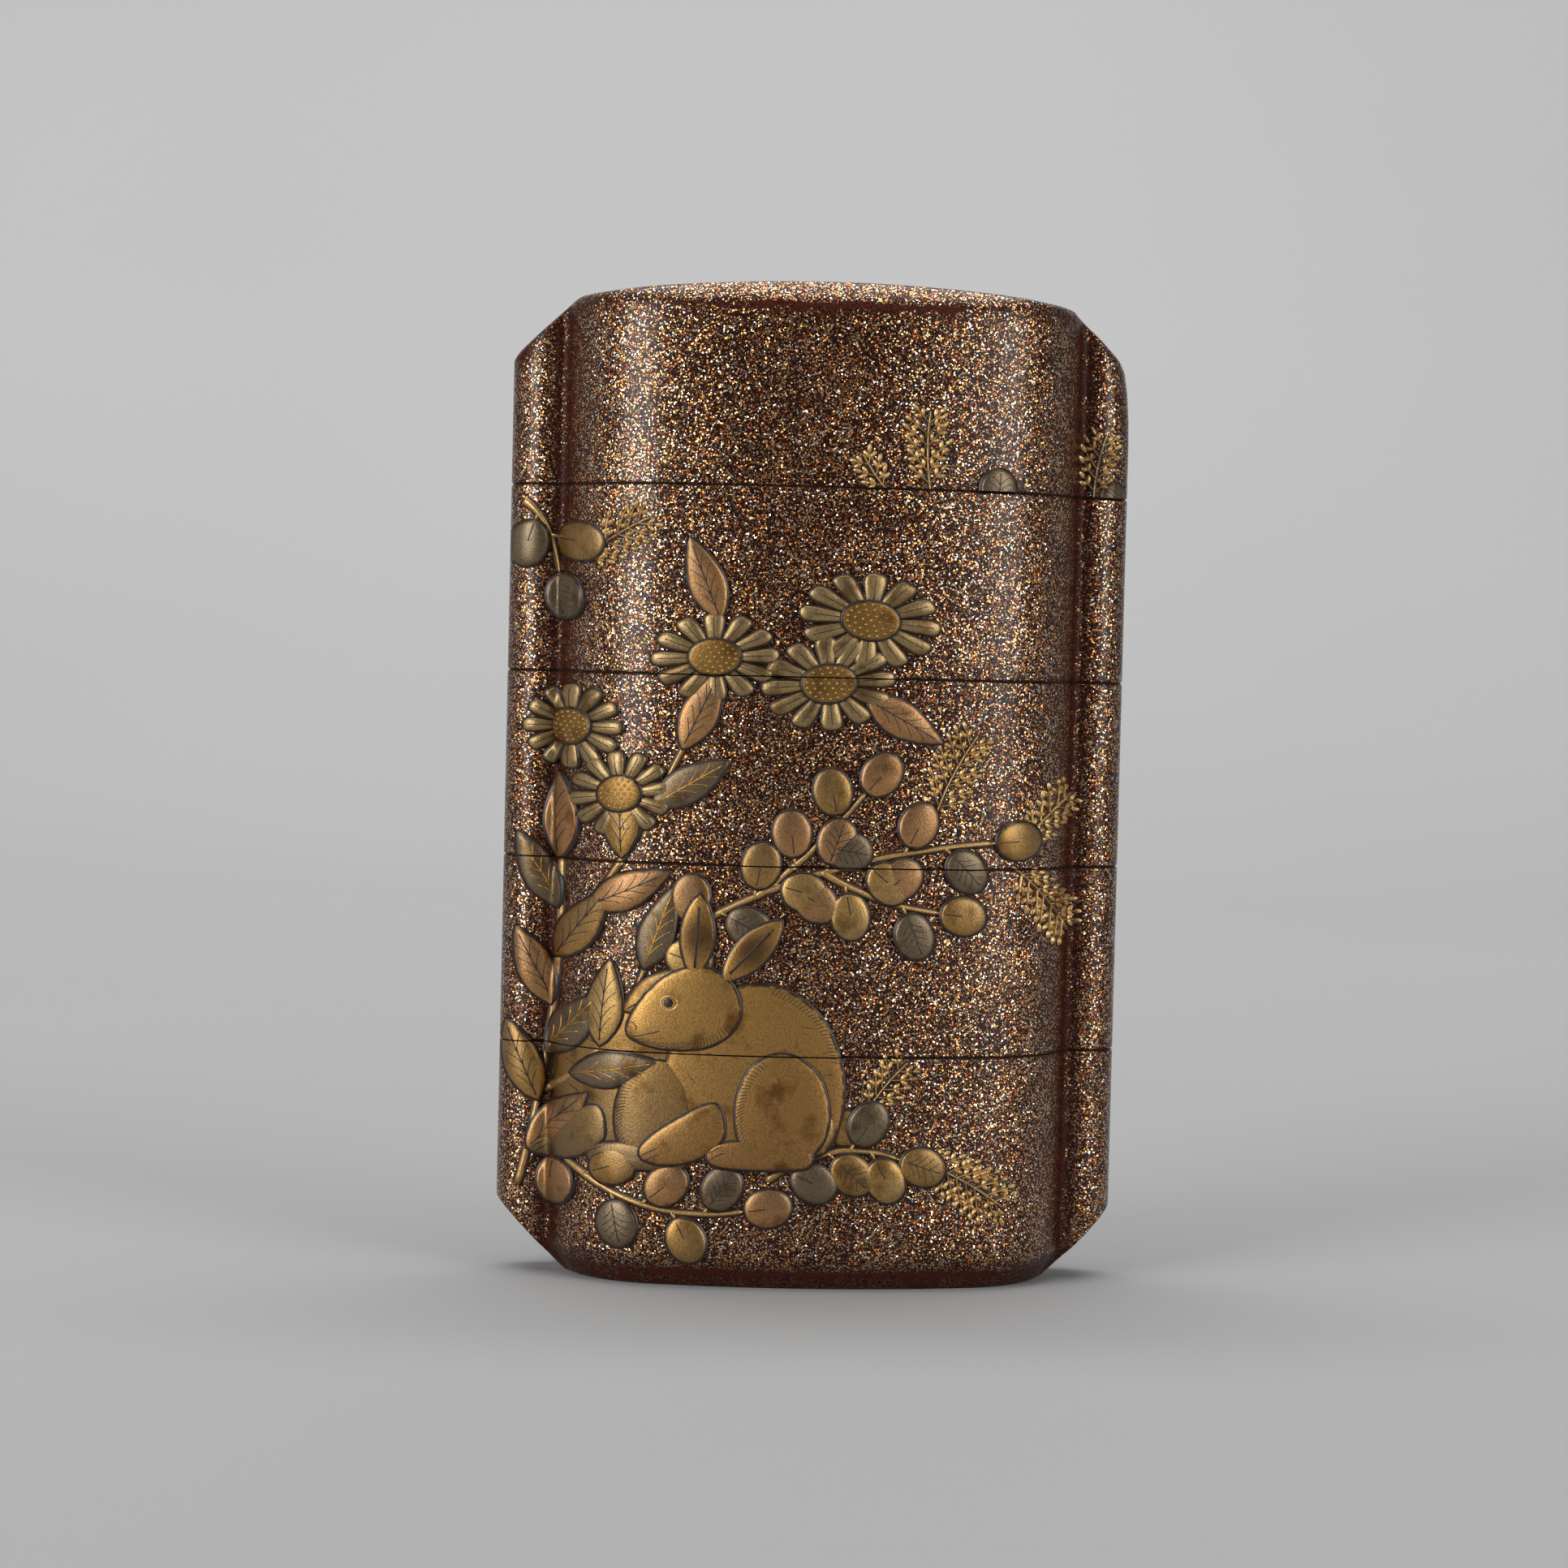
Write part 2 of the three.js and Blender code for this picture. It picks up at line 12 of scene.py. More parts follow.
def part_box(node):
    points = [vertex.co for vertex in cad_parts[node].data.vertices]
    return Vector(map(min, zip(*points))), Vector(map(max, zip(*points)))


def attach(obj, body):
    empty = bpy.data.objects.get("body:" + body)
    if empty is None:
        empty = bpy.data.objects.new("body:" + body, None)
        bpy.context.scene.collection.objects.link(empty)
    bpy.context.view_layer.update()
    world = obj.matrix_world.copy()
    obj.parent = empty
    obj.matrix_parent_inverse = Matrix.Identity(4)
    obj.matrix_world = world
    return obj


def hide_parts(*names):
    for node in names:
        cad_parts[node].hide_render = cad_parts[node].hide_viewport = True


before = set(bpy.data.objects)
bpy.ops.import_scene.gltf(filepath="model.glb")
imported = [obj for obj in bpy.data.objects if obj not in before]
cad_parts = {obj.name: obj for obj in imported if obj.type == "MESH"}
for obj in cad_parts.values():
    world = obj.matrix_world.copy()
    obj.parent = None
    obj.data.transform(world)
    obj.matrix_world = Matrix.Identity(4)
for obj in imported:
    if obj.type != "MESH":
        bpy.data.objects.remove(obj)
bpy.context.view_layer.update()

MM = 0.001
CASES = ["case_4", "case_3", "case_2", "case_1", "lid"]

# Body, in millimetres
WIDTH = 54
DEPTH = 25
FRONT_RADIUS = 60
SHOULDER_RADIUS = 11.5
RIB_RADIUS = 3.1
RIB_PROUD = 4.2
VALLEY_RADIUS = 0.8
CHANNEL_RADIUS = 1.2
RISER_HEIGHT = 5
RECESS_DEPTH = 5.3
TRAY_FLOOR = 1.3
BASE_FLOOR = 2
LID_CEILING = 2.6
EDGE = 0.18
CHANNEL_SIDES = 32

# Inner walls: how far inside the plan, and how far from the middle they end
RECESS = (1.2, 21.7)
RISER = (1.4, 21.5)
COMPARTMENT = (2.4, 20.5)

# Bevels and facets: height and width
TOP_BEVEL = (1.8, 1.6)
BASE_BEVEL = (2.6, 1.8)
TOP_FACET = (6.4, 6.9)
BASE_FACET = (6.2, 6.1)
CROWN_RADIUS = 185

# How softly the lid's and base's surfaces meet, and how far the wall's edges are rounded back
SOFTNESS = 0.35
ROUNDING = 0.3
ROUNDING_REACH = 0.6
BASE_ROUNDING = 0.4 * ROUNDING
WALL_END = 0.12

# The lid's right upper corner, worn rounder than the left one
WORN_FROM = 24.2
WORN_SPAN = 2.4
WORN_DROP = 6
WORN_REACH = 0.8

# Places of the materials in each piece's list
INNER_PART = 1
GOLD_PART = 2
DARK_PART = 3

# Levels of the stack, read from the solids
LEVELS = [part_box(name)[0].z / MM for name in CASES] + [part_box("lid")[1].z / MM]
HEIGHT = LEVELS[-1]

# Places that the plan is drawn from
rib_centre = np.array([WIDTH / 2 - RIB_RADIUS, 0.0])
front_centre = np.array([0.0, FRONT_RADIUS - DEPTH / 2])
shoulder_x = WIDTH / 2 - RIB_PROUD - SHOULDER_RADIUS
shoulder_centre = np.array([
    shoulder_x,
    front_centre[1] - math.sqrt((FRONT_RADIUS - SHOULDER_RADIUS) ** 2 - shoulder_x ** 2),
])
shoulder_start = math.atan2(shoulder_centre[0], front_centre[1] - shoulder_centre[1]) - math.pi / 2


def find_valley_centre():
    """The middle of the small arc that joins the shoulder to the rib."""
    to_shoulder = SHOULDER_RADIUS + VALLEY_RADIUS
    to_rib = RIB_RADIUS + VALLEY_RADIUS
    across = rib_centre - shoulder_centre
    apart = np.linalg.norm(across)
    along = (to_shoulder ** 2 - to_rib ** 2 + apart ** 2) / (2 * apart)
    aside = math.sqrt(to_shoulder ** 2 - along ** 2)
    unit = across / apart
    return shoulder_centre + along * unit + aside * np.array([unit[1], -unit[0]])


valley_centre = find_valley_centre()


def bearing(start, end):
    return math.atan2(end[1] - start[1], end[0] - start[0])


def arc(centre, radius, start, end, steps):
    """Places along an arc, without its end."""
    angles = np.linspace(start, end, steps + 1)[:-1]
    return np.stack([centre[0] + radius * np.cos(angles), centre[1] + radius * np.sin(angles)], 1)


def front_half(inset, dense=1.0):
    """The front of the plan from the left rib's tip to the right one's, moved inwards by inset."""
    shoulder_end = bearing(shoulder_centre, valley_centre)
    rib_start = bearing(rib_centre, valley_centre)
    steps = [round(dense * count) for count in (26, 26, 12, 18)]
    right = np.concatenate([
        arc(front_centre, FRONT_RADIUS - inset, -math.pi / 2, shoulder_start, steps[0]),
        arc(shoulder_centre, SHOULDER_RADIUS - inset, shoulder_start, shoulder_end, steps[1]),
        arc(valley_centre, VALLEY_RADIUS + inset, bearing(valley_centre, shoulder_centre),
            bearing(valley_centre, rib_centre), steps[2]),
        arc(rib_centre, RIB_RADIUS - inset, rib_start, 0, steps[3]),
        [[WIDTH / 2 - inset, 0]],
    ])
    left = right[:0:-1] * [-1, 1]
    return np.concatenate([left, right])


def closed_loop(half):
    """A whole loop from its front half and the same mirrored at the back."""
    return np.concatenate([half, half[-2:0:-1] * [1, -1]])


def lens_loop(size):
    """The loop of an inner wall: the plan without ribs, moved inwards and cut square at its ends."""
    inset, end = size
    radius = SHOULDER_RADIUS - inset
    reach = min(1, (end - shoulder_centre[0]) / radius)
    stop = min(-math.acos(reach), -math.asin(shoulder_centre[1] / radius))
    right = np.concatenate([
        arc(front_centre, FRONT_RADIUS - inset, -math.pi / 2, shoulder_start, 22),
        arc(shoulder_centre, radius, shoulder_start, stop, 14),
        [shoulder_centre + radius * np.array([math.cos(stop), math.sin(stop)])],
    ])
    left = right[:0:-1] * [-1, 1]
    half = np.concatenate([left, right])
    return np.concatenate([half, half[::-1] * [1, -1]])


def soft_min(a, b):
    gap = np.maximum(SOFTNESS - np.abs(a - b), 0)
    return np.minimum(a, b) - gap ** 2 / (4 * SOFTNESS)


def rounding(inset):
    """The share of the rounding that is left at a distance inwards from the wall."""
    return np.maximum(1 - np.asarray(inset) / ROUNDING_REACH, 0) ** 2


def worn_corner(x, inset):
    """How far the lid's worn corner drops."""
    share = np.clip((x - WORN_FROM) / WORN_SPAN, 0, 1)
    reach = np.clip(1 - np.asarray(inset) / WORN_REACH, 0, 1)
    return WORN_DROP * share * (1 - np.sqrt(1 - reach ** 2))


def top_height(x, inset):
    """Height of the lid's bevel, crown and facets."""
    crown_half = WIDTH / 2 - TOP_FACET[1]
    bevel = HEIGHT - TOP_BEVEL[0] + inset * TOP_BEVEL[0] / TOP_BEVEL[1]
    crown = HEIGHT - CROWN_RADIUS + np.sqrt(CROWN_RADIUS ** 2 - x ** 2)
    facet = HEIGHT - (np.abs(x) - crown_half) * TOP_FACET[0] / TOP_FACET[1]
    return soft_min(soft_min(bevel, crown), facet) - ROUNDING * rounding(inset) - worn_corner(x, inset)


def base_height(x, inset):
    """Height of the base's bevel, flat and facets."""
    bevel = BASE_BEVEL[0] - inset * BASE_BEVEL[0] / BASE_BEVEL[1]
    facet = (np.abs(x) - WIDTH / 2 + BASE_FACET[1]) * BASE_FACET[0] / BASE_FACET[1]
    rounded = -soft_min(soft_min(-bevel, np.zeros_like(x)), -facet)
    return np.maximum(rounded + BASE_ROUNDING * rounding(inset), 0)


class Faces:
    """Collects vertices and faces with one material and one tint each."""

    def __init__(self):
        self.points = []
        self.tints = []
        self.faces = []
        self.materials = []
        self.count = 0

    def add(self, points, tint=(0, 0, 0)):
        points = np.asarray(points, float)
        self.points.append(points)
        self.tints.append(np.broadcast_to(np.asarray(tint, float), (len(points), 3)))
        first = self.count
        self.count += len(points)
        return np.arange(first, self.count)

    def face(self, corners, material=0):
        self.faces.append([int(corner) for corner in corners])
        self.materials.append(material)

    def bridge(self, low, high, material=0):
        """Quads between two closed loops of the same length."""
        for index in range(len(low)):
            after = (index + 1) % len(low)
            self.face([low[index], low[after], high[after], high[index]], material)

    def fan(self, loop, middle, material):
        """Triangles from a closed loop to a middle point."""
        for index in range(len(loop)):
            self.face([loop[index], loop[(index + 1) % len(loop)], middle], material)


def flat(points, height):
    """Places on a level with their height above it."""
    return np.column_stack([points, np.broadcast_to(height, len(points))])


def stack_loft(faces, rings, dark):
    """Adds closed rings, each (outline, heights), and bridges them in turn, dark at a seam."""
    loops = [faces.add(flat(outline, heights)) for outline, heights in rings]
    for index, (low, high) in enumerate(zip(loops, loops[1:])):
        faces.bridge(low, high, DARK_PART if index in dark else 0)
    return loops


def flat_cap(faces, loops, material=0):
    """A level face inside the first loop and outside the others."""
    points = np.concatenate(faces.points)
    order = np.concatenate(loops)
    lists = [[Vector(points[index]) for index in loop] for loop in loops]
    for triangle in tessellate_polygon(lists):
        faces.face(order[list(triangle)], material)


def cover(faces, ring, inset, height_of, material=0):
    """Closes a ring by strips towards the line between front and back."""
    half = front_half(inset)
    size = len(half)
    previous = ring
    for share in (0.9, 0.78, 0.64, 0.48, 0.32, 0.16):
        shrunk = closed_loop(half * [1, share])
        reach = inset + (1 - share) * np.abs(closed_loop(half)[:, 1])
        loop = faces.add(flat(shrunk, height_of(shrunk[:, 0], reach)))
        faces.bridge(previous, loop, material)
        previous = loop
    back = [previous[0], *previous[:size - 1:-1], previous[size - 1]]
    for index in range(size - 1):
        corners = [previous[index], previous[index + 1], back[index + 1], back[index]]
        faces.face(list(dict.fromkeys(int(corner) for corner in corners)), material)


INSETS = (0.05, 0.2, 0.45, 0.8, 1.15, 1.4, 1.6, 1.8, 2.1, 2.4)


def outer_loop(inset):
    return closed_loop(front_half(inset))


def closing_rings(height_of):
    """Rings over a bevel, from the wall inwards."""
    plans = [outer_loop(inset) for inset in INSETS]
    return [(plan, height_of(plan[:, 0], inset)) for plan, inset in zip(plans, INSETS)]


def seam_rings(low, high):
    """Rings of a plain wall between two seams, with rounded edges."""
    steps = [(EDGE, 0), (EDGE * 0.4, EDGE * 0.5), (0, EDGE), (0, 3 * EDGE)]
    lower = [(outer_loop(inset), low + lift) for inset, lift in steps]
    upper = [(outer_loop(inset), high - lift) for inset, lift in reversed(steps)]
    return lower + upper


def riser(faces, rim, high, floor):
    """The rim, the riser on it and the compartment down to its floor."""
    outside = lens_loop(RISER)
    inside = lens_loop(COMPARTMENT)
    foot = faces.add(flat(outside, high))
    flat_cap(faces, [rim, foot])
    narrower = lens_loop((RISER[0] + EDGE, RISER[1] - EDGE))
    wider = lens_loop((COMPARTMENT[0] - EDGE, COMPARTMENT[1] + EDGE))
    top = high + RISER_HEIGHT
    rings = [(outside, top - EDGE), (narrower, top), (wider, top), (inside, top - EDGE), (inside, floor)]
    previous = foot
    for outline, level in rings:
        loop = faces.add(flat(outline, level))
        faces.bridge(previous, loop, INNER_PART)
        previous = loop
    flat_cap(faces, [previous], INNER_PART)


def recess(faces, rim, low, ceiling):
    """The underside's rim and the recess that takes the riser below."""
    outline = lens_loop(RECESS)
    foot = faces.add(flat(outline, low))
    flat_cap(faces, [rim, foot])
    top = faces.add(flat(outline, ceiling))
    faces.bridge(foot, top, INNER_PART)
    flat_cap(faces, [top], INNER_PART)


def body_faces(name):
    """The body of one piece of the stack, without its cord channels."""
    place = CASES.index(name)
    low, high = LEVELS[place], LEVELS[place + 1]
    faces = Faces()
    outline = outer_loop(0)
    if name == "lid":
        edge = top_height(outline[:, 0], 0)
        rings = seam_rings(low, high)[:4]
        rings += [(outline, low + share * (edge - low)) for share in (0.25, 0.5, 0.75, 0.92)]
        rings.append((outline, edge - WALL_END))
        rings += closing_rings(top_height)
        loops = stack_loft(faces, rings, {0})
        cover(faces, loops[-1], INSETS[-1], top_height)
        recess(faces, loops[0], low, HEIGHT - LID_CEILING)
    elif name == "case_4":
        edge = base_height(outline[:, 0], 0)
        rings = closing_rings(base_height)[::-1]
        rings.append((outline, edge + WALL_END))
        rings += [(outline, high - share * (high - edge)) for share in (0.8, 0.5, 0.2)]
        rings += seam_rings(low, high)[4:]
        loops = stack_loft(faces, rings, {len(rings) - 2})
        cover(faces, loops[0], INSETS[-1], base_height)
        riser(faces, loops[-1], high, low + BASE_FLOOR)
    else:
        loops = stack_loft(faces, seam_rings(low, high), {0, 6})
        recess(faces, loops[0], low, low + RECESS_DEPTH)
        riser(faces, loops[-1], high, low + RECESS_DEPTH + TRAY_FLOOR)
    return faces


# The picture: how deep its figures reach into the wall, how wide their dark borders are, and the
# foot and top of each level of relief
SKIRT = -0.3
BORDER = 0.2
BAND = [(0.03, 0.28), (0.30, 0.55), (0.57, 0.80)]

GOLD = np.array([0.54, 0.30, 0.068])
OLIVE = np.array([0.33, 0.19, 0.06])
COPPER = np.array([0.38, 0.20, 0.085])
BRASS = np.array([0.43, 0.27, 0.095])
STALK = np.array([0.50, 0.32, 0.14])
SMUDGE = np.array([0.07, 0.035, 0.02])
PEWTER = np.array([0.16, 0.12, 0.08])
PALE = np.array([0.36, 0.255, 0.125])
FROND = np.array([0.64, 0.43, 0.20])
DARK = np.array([0.012, 0.006, 0.004])


def mix(a, b, share):
    share = np.clip(np.asarray(share, float), 0, 1)[..., None]
    return a * (1 - share) + b * share


def mirrored(side):
    """A closed outline from one side of a long figure and the same on its other side."""
    return np.concatenate([side, side[-2:0:-1] * [1, -1]])


def ring_of(count):
    """Places round a circle of radius 1."""
    turn = np.linspace(0, 2 * math.pi, count, endpoint=False)
    return np.column_stack([np.cos(turn), np.sin(turn)])


def unit_normals(outline, closed=True):
    """Outward unit normals of an outline that runs anticlockwise, or of an open line's right side."""
    if closed:
        along = np.roll(outline, -1, 0) - np.roll(outline, 1, 0)
    else:
        along = np.gradient(outline, axis=0)
    normals = np.column_stack([along[:, 1], -along[:, 0]])
    return normals / np.maximum(np.linalg.norm(normals, axis=1, keepdims=True), 1e-9)


def anticlockwise(outline):
    x, y = outline.T
    area = np.sum(x * np.roll(y, -1) - np.roll(x, -1) * y)
    return outline if area > 0 else outline[::-1]


def even_loop(corners, spacing):
    """A smooth closed curve through corners, with points at an even spacing."""
    corners = np.asarray(corners, float)
    count = len(corners)
    points = []
    for index in range(count):
        a, b, c, d = (corners[(index + step) % count] for step in (-1, 0, 1, 2))
        for t in np.linspace(0, 1, 12, endpoint=False):
            points.append(0.5 * (2 * b + (c - a) * t + (2 * a - 5 * b + 4 * c - d) * t ** 2
                                 + (3 * b - a - 3 * c + d) * t ** 3))
    points = np.array(points + [points[0]])
    lengths = np.concatenate([[0], np.cumsum(np.linalg.norm(np.diff(points, axis=0), axis=1))])
    number = max(10, round(lengths[-1] / spacing))
    places = np.linspace(0, lengths[-1], number, endpoint=False)
    return np.column_stack([np.interp(places, lengths, points[:, axis]) for axis in (0, 1)])


def placed(points, at, angle):
    """Places turned by an angle and moved."""
    c, s = math.cos(angle), math.sin(angle)
    return np.asarray(points, float) @ np.array([[c, s], [-s, c]]) + np.asarray(at, float)


class Dome:
    """A rounded raised figure on an outline, at one of three levels."""

    def __init__(self, outline, level, tint, full=1.0, sharp=2.6, border=BORDER):
        self.outline = anticlockwise(np.asarray(outline, float))
        self.centre = self.outline.mean(0)
        self.base, top = BAND[level]
        self.top = self.base + (top - self.base) * full
        self.tint = tint
        self.sharp = sharp
        self.border = border
        offset = self.outline - self.centre
        angles = np.arctan2(offset[:, 1], offset[:, 0])
        order = np.argsort(angles)
        self.angles = angles[order]
        self.radii = np.linalg.norm(offset, axis=1)[order]

    def radius(self, angle):
        return np.interp(angle, self.angles, self.radii, period=2 * math.pi)

    def rise(self, share):
        """Height at a share of the way out from the middle."""
        share = np.clip(share, 0, 1)
        return self.base + (self.top - self.base) * (1 - share ** self.sharp) ** 0.6

    def height(self, points):
        """Height of the surface over places in the picture."""
        offset = np.atleast_2d(points) - self.centre
        radii = self.radius(np.arctan2(offset[:, 1], offset[:, 0]))
        return self.rise(np.linalg.norm(offset, axis=1) / radii)

    def build(self, faces):
        rim = self.outline + self.border * unit_normals(self.outline)
        rings = [(rim, SKIRT), (rim, self.base), (self.outline, self.base)]
        loops = [faces.add(flat(points, height), DARK) for points, height in rings]
        faces.bridge(loops[0], loops[1], DARK_PART)
        faces.bridge(loops[1], loops[2], DARK_PART)
        previous = faces.add(flat(self.outline, self.base), self.colour(self.outline))
        for share in (0.97, 0.9, 0.78, 0.6, 0.38, 0.18):
            points = self.centre + share * (self.outline - self.centre)
            loop = faces.add(flat(points, self.rise(share)), self.colour(points))
            faces.bridge(previous, loop, GOLD_PART)
            previous = loop
        middle = faces.add(flat(self.centre[None], self.top), self.colour(self.centre[None]))[0]
        faces.fan(previous, middle, GOLD_PART)

    def colour(self, points):
        tint = self.tint(points) if callable(self.tint) else self.tint
        return np.broadcast_to(tint, (len(points), 3))


def ribbon(faces, line, half, heights, material, tint, skirt, rise=0.0):
    """A low strip along a line in the picture, rounded across."""
    line = np.asarray(line, float)
    half = np.broadcast_to(half, len(line))[:, None]
    heights = np.broadcast_to(heights, len(line))
    across = unit_normals(line, False)
    tint = np.broadcast_to(tint, (len(line), 3))
    section = [(-1, -skirt), (-1, 0), (-0.5, rise * 0.75), (0, rise)]
    section += [(-side, lift) for side, lift in section[2::-1]]
    loops = [faces.add(flat(line + side * half * across, heights + lift), tint) for side, lift in section]
    for low, high in zip(loops, loops[1:] + loops[:1]):
        for index in range(len(line) - 1):
            faces.face([low[index], low[index + 1], high[index + 1], high[index]], material)
    faces.face([loop[0] for loop in loops], material)
    faces.face([loop[-1] for loop in loops][::-1], material)


def stem(faces, line, half, tint):
    """A low stem inside its dark border."""
    base, top = BAND[0]
    ribbon(faces, line, half + 0.12, base, DARK_PART, DARK, skirt=base - SKIRT)
    ribbon(faces, line, half, base, GOLD_PART, tint, rise=top - base, skirt=base - SKIRT)


def bezier(start, bow, end, count):
    t = np.linspace(0, 1, count)[:, None]
    start, bow, end = (np.asarray(place, float) for place in (start, bow, end))
    return (1 - t) ** 2 * start + 2 * t * (1 - t) * bow + t ** 2 * end


def groove(faces, dome, line, half, lift=0.012):
    """A fine dark line that follows a raised figure's surface."""
    line = np.asarray(line, float)
    ribbon(faces, line, half, dome.height(line) + lift, DARK_PART, DARK, rise=0.005, skirt=0.05)


def leaf(faces, size, at, angle, level, tint, veined=True):
    """A leaf from its foot, with its midrib and side veins incised, or raised in gold on a dark one."""
    length, width = size["length"], size["width"]
    stalk = size.get("stalk", 0)
    if size["round"]:
        outline = (ring_of(26) + [1, 0]) * [length / 2, width / 2] + [stalk, 0]
    else:
        along = np.linspace(0, 1, 17)
        swell = np.sin(math.pi * along) ** 0.8 * (1 + 0.2 * np.cos(math.pi * along))
        outline = mirrored(np.column_stack([along * length, swell * width / 2]))
    foot = np.asarray(at, float)
    heading = np.array([math.cos(angle), math.sin(angle)])
    cross = np.array([-heading[1], heading[0]])
    reach = stalk + length
    dark = tint is PEWTER and not size["round"]

    def shade(points):
        offset = points - foot
        share = 0.9 * (offset @ heading) / reach + 0.12 * np.sign(offset @ cross)
        return mix(tint * 1.12, mix(tint, PEWTER, 0.55), share)

    dome = Dome(placed(outline, at, angle), level, shade)
    if stalk:
        stem(faces, placed([[0, 0], [stalk / 2, 0], [stalk + 0.3, 0]], at, angle), 0.17, STALK)
    dome.build(faces)

    def vein(line, half):
        line = placed(line, at, angle)
        if dark:
            ribbon(faces, line, half, dome.height(line), GOLD_PART, GOLD, rise=0.05, skirt=0.05)
        else:
            groove(faces, dome, line, half)

    midrib = stalk + np.linspace(0.06, 0.9 if veined else 0.45, 9) * length
    vein(np.column_stack([midrib, np.zeros(9)]), 0.075 if dark else 0.05)
    for step in range(4 if veined else 0):
        root = stalk + length * (0.15 + 0.6 * step / 4)
        for side in (-1, 1):
            spread = side * width * 0.33 * math.sin(math.pi * min(0.95, (root - stalk) / length + 0.15))
            bow = [root + 0.12 * length, spread * 0.3]
            vein(bezier([root, 0], bow, [root + 0.2 * length, spread], 5), 0.05 if dark else 0.03)


def sprig(faces, size, start, bow, end, leaves, tints):
    """A stem with leaves on its two sides in turn, and one near its tip."""
    line = bezier(start, bow, end, 40)
    stem(faces, line, np.linspace(0.36, 0.22, 40), STALK)
    steps = np.linspace(0, 1, 40)
    for index in range(1, leaves + 1):
        place = (index - 0.2) / leaves
        foot, ahead, behind = ([np.interp(at, steps, line[:, axis]) for axis in (0, 1)]
                               for at in (place, min(1, place + 0.02), place - 0.02))
        side = 1 if index % 2 == 0 else -1
        turn = 0 if index == leaves else side * size["splay"]
        tint = tints[index % len(tints)]
        veined = not size["round"] or index % 3 == 0
        leaf(faces, size, foot, bearing(behind, ahead) + turn, 1, tint, veined)


# A daisy: places along a petal with its half width there, and the disc's share of the radius
PETALS = 12
PETAL = np.array([
    (0.36, 0.06), (0.42, 0.1), (0.6, 0.13), (0.8, 0.155), (0.93, 0.14), (0.985, 0.09), (1.0, 0.0),
])
DISC = 0.4


def daisy(faces, at, radius, squash, turn):
    """A daisy seen at a slant, its disc dotted."""
    ratio = np.array([1, squash])
    for petal in range(PETALS):
        angle = 2 * math.pi * petal / PETALS
        outline = np.concatenate([PETAL, PETAL[-2::-1] * [1, -1]]) * radius
        outline = placed(outline, (0, 0), angle) * ratio
        tint = PALE * (1 if petal % 3 == 0 else 0.86)
        dome = Dome(placed(outline, at, turn), 1, tint, sharp=2.4, border=0.15)
        dome.build(faces)
        line = np.column_stack([np.linspace(0.45, 0.9, 5), np.zeros(5)]) * radius
        groove(faces, dome, placed(placed(line, (0, 0), angle) * ratio, at, turn), 0.035)
    oval = ring_of(36) * ratio * radius * DISC
    disc = Dome(placed(oval, at, turn), 2, OLIVE * 0.8, full=0.55, sharp=2.2)
    disc.build(faces)
    for ring, count in ((0.0, 1), (0.3, 6), (0.58, 12), (0.84, 18)):
        for step in range(count):
            where = 2 * math.pi * (step + ring * 3) / count
            way = np.array([math.cos(where), math.sin(where)])
            spot = placed([way * ring * DISC * radius * ratio], at, turn)
            bump(faces, spot[0], disc.height(spot)[0] - 0.02, 0.17, OLIVE * 1.3, 0.1)


def bump(faces, at, height, radius, tint, rise, material=GOLD_PART):
    """A small round dot."""
    circle = ring_of(7)
    low = faces.add(flat(at + radius * circle, height - 0.03), tint)
    high = faces.add(flat(at + radius * 0.6 * circle, height + rise * 0.75), tint)
    top = faces.add(flat(np.array([at]), height + rise), tint)[0]
    faces.bridge(low, high, material)
    faces.fan(high, top, material)
    faces.face(low[::-1], material)


def leaflet(faces, at, angle, length, width, tint):
    """A tiny rounded leaf with a dark rim."""
    oval = (ring_of(9) + [1, 0]) * [length / 2, width / 2]
    middle = np.array([length / 2, 0])
    base, top = BAND[0]
    spots = [placed(middle + share * (oval - middle), at, angle) for share in (1.3, 1.0, 0.6)]
    skirt = faces.add(flat(spots[0], SKIRT), DARK)
    rim = faces.add(flat(spots[0], base - 0.01), DARK)
    edge = faces.add(flat(spots[1], base), tint)
    high = faces.add(flat(spots[2], top - 0.05), tint)
    faces.bridge(skirt, rim, DARK_PART)
    faces.bridge(rim, edge, DARK_PART)
    faces.bridge(edge, high, GOLD_PART)
    peak = faces.add(flat(placed([middle], at, angle), top), tint)[0]
    faces.fan(high, peak, GOLD_PART)


def frond(faces, at, angle, length, seed):
    """A fine plant: side twigs with pairs of tiny rounded leaves."""
    local = random.Random(seed)
    line = placed(bezier([0, 0], [0.5 * length, 0.08 * length], [length, 0], 30), at, angle)
    stem(faces, line, 0.09, FROND)
    twigs = max(4, round(length))
    for step in range(1, twigs):
        share = step / twigs
        foot = line[round(share * 29)]
        reach = 0.3 * length * math.sin(math.pi * (0.12 + 0.8 * share)) ** 0.8
        for side in (-1, 1):
            way = angle + side * (0.8 + local.uniform(-0.12, 0.12))
            twig = placed(bezier([0, 0], [0.5 * reach, 0.06 * side], [reach, 0], 8), foot, way)
            stem(faces, twig, 0.055, FROND)
            count = max(2, round(reach / 0.72))
            for place in range(1, count + 1):
                spot = twig[round(7 * place / count)]
                size = local.uniform(0.62, 0.82)
                tint = mix(FROND, BRASS * 1.3, local.uniform(0.0, 0.6))
                turns = (0,) if place == count else (-0.75, 0.75)
                for turn in turns:
                    leaflet(faces, spot, way + turn, size, 0.36, tint)


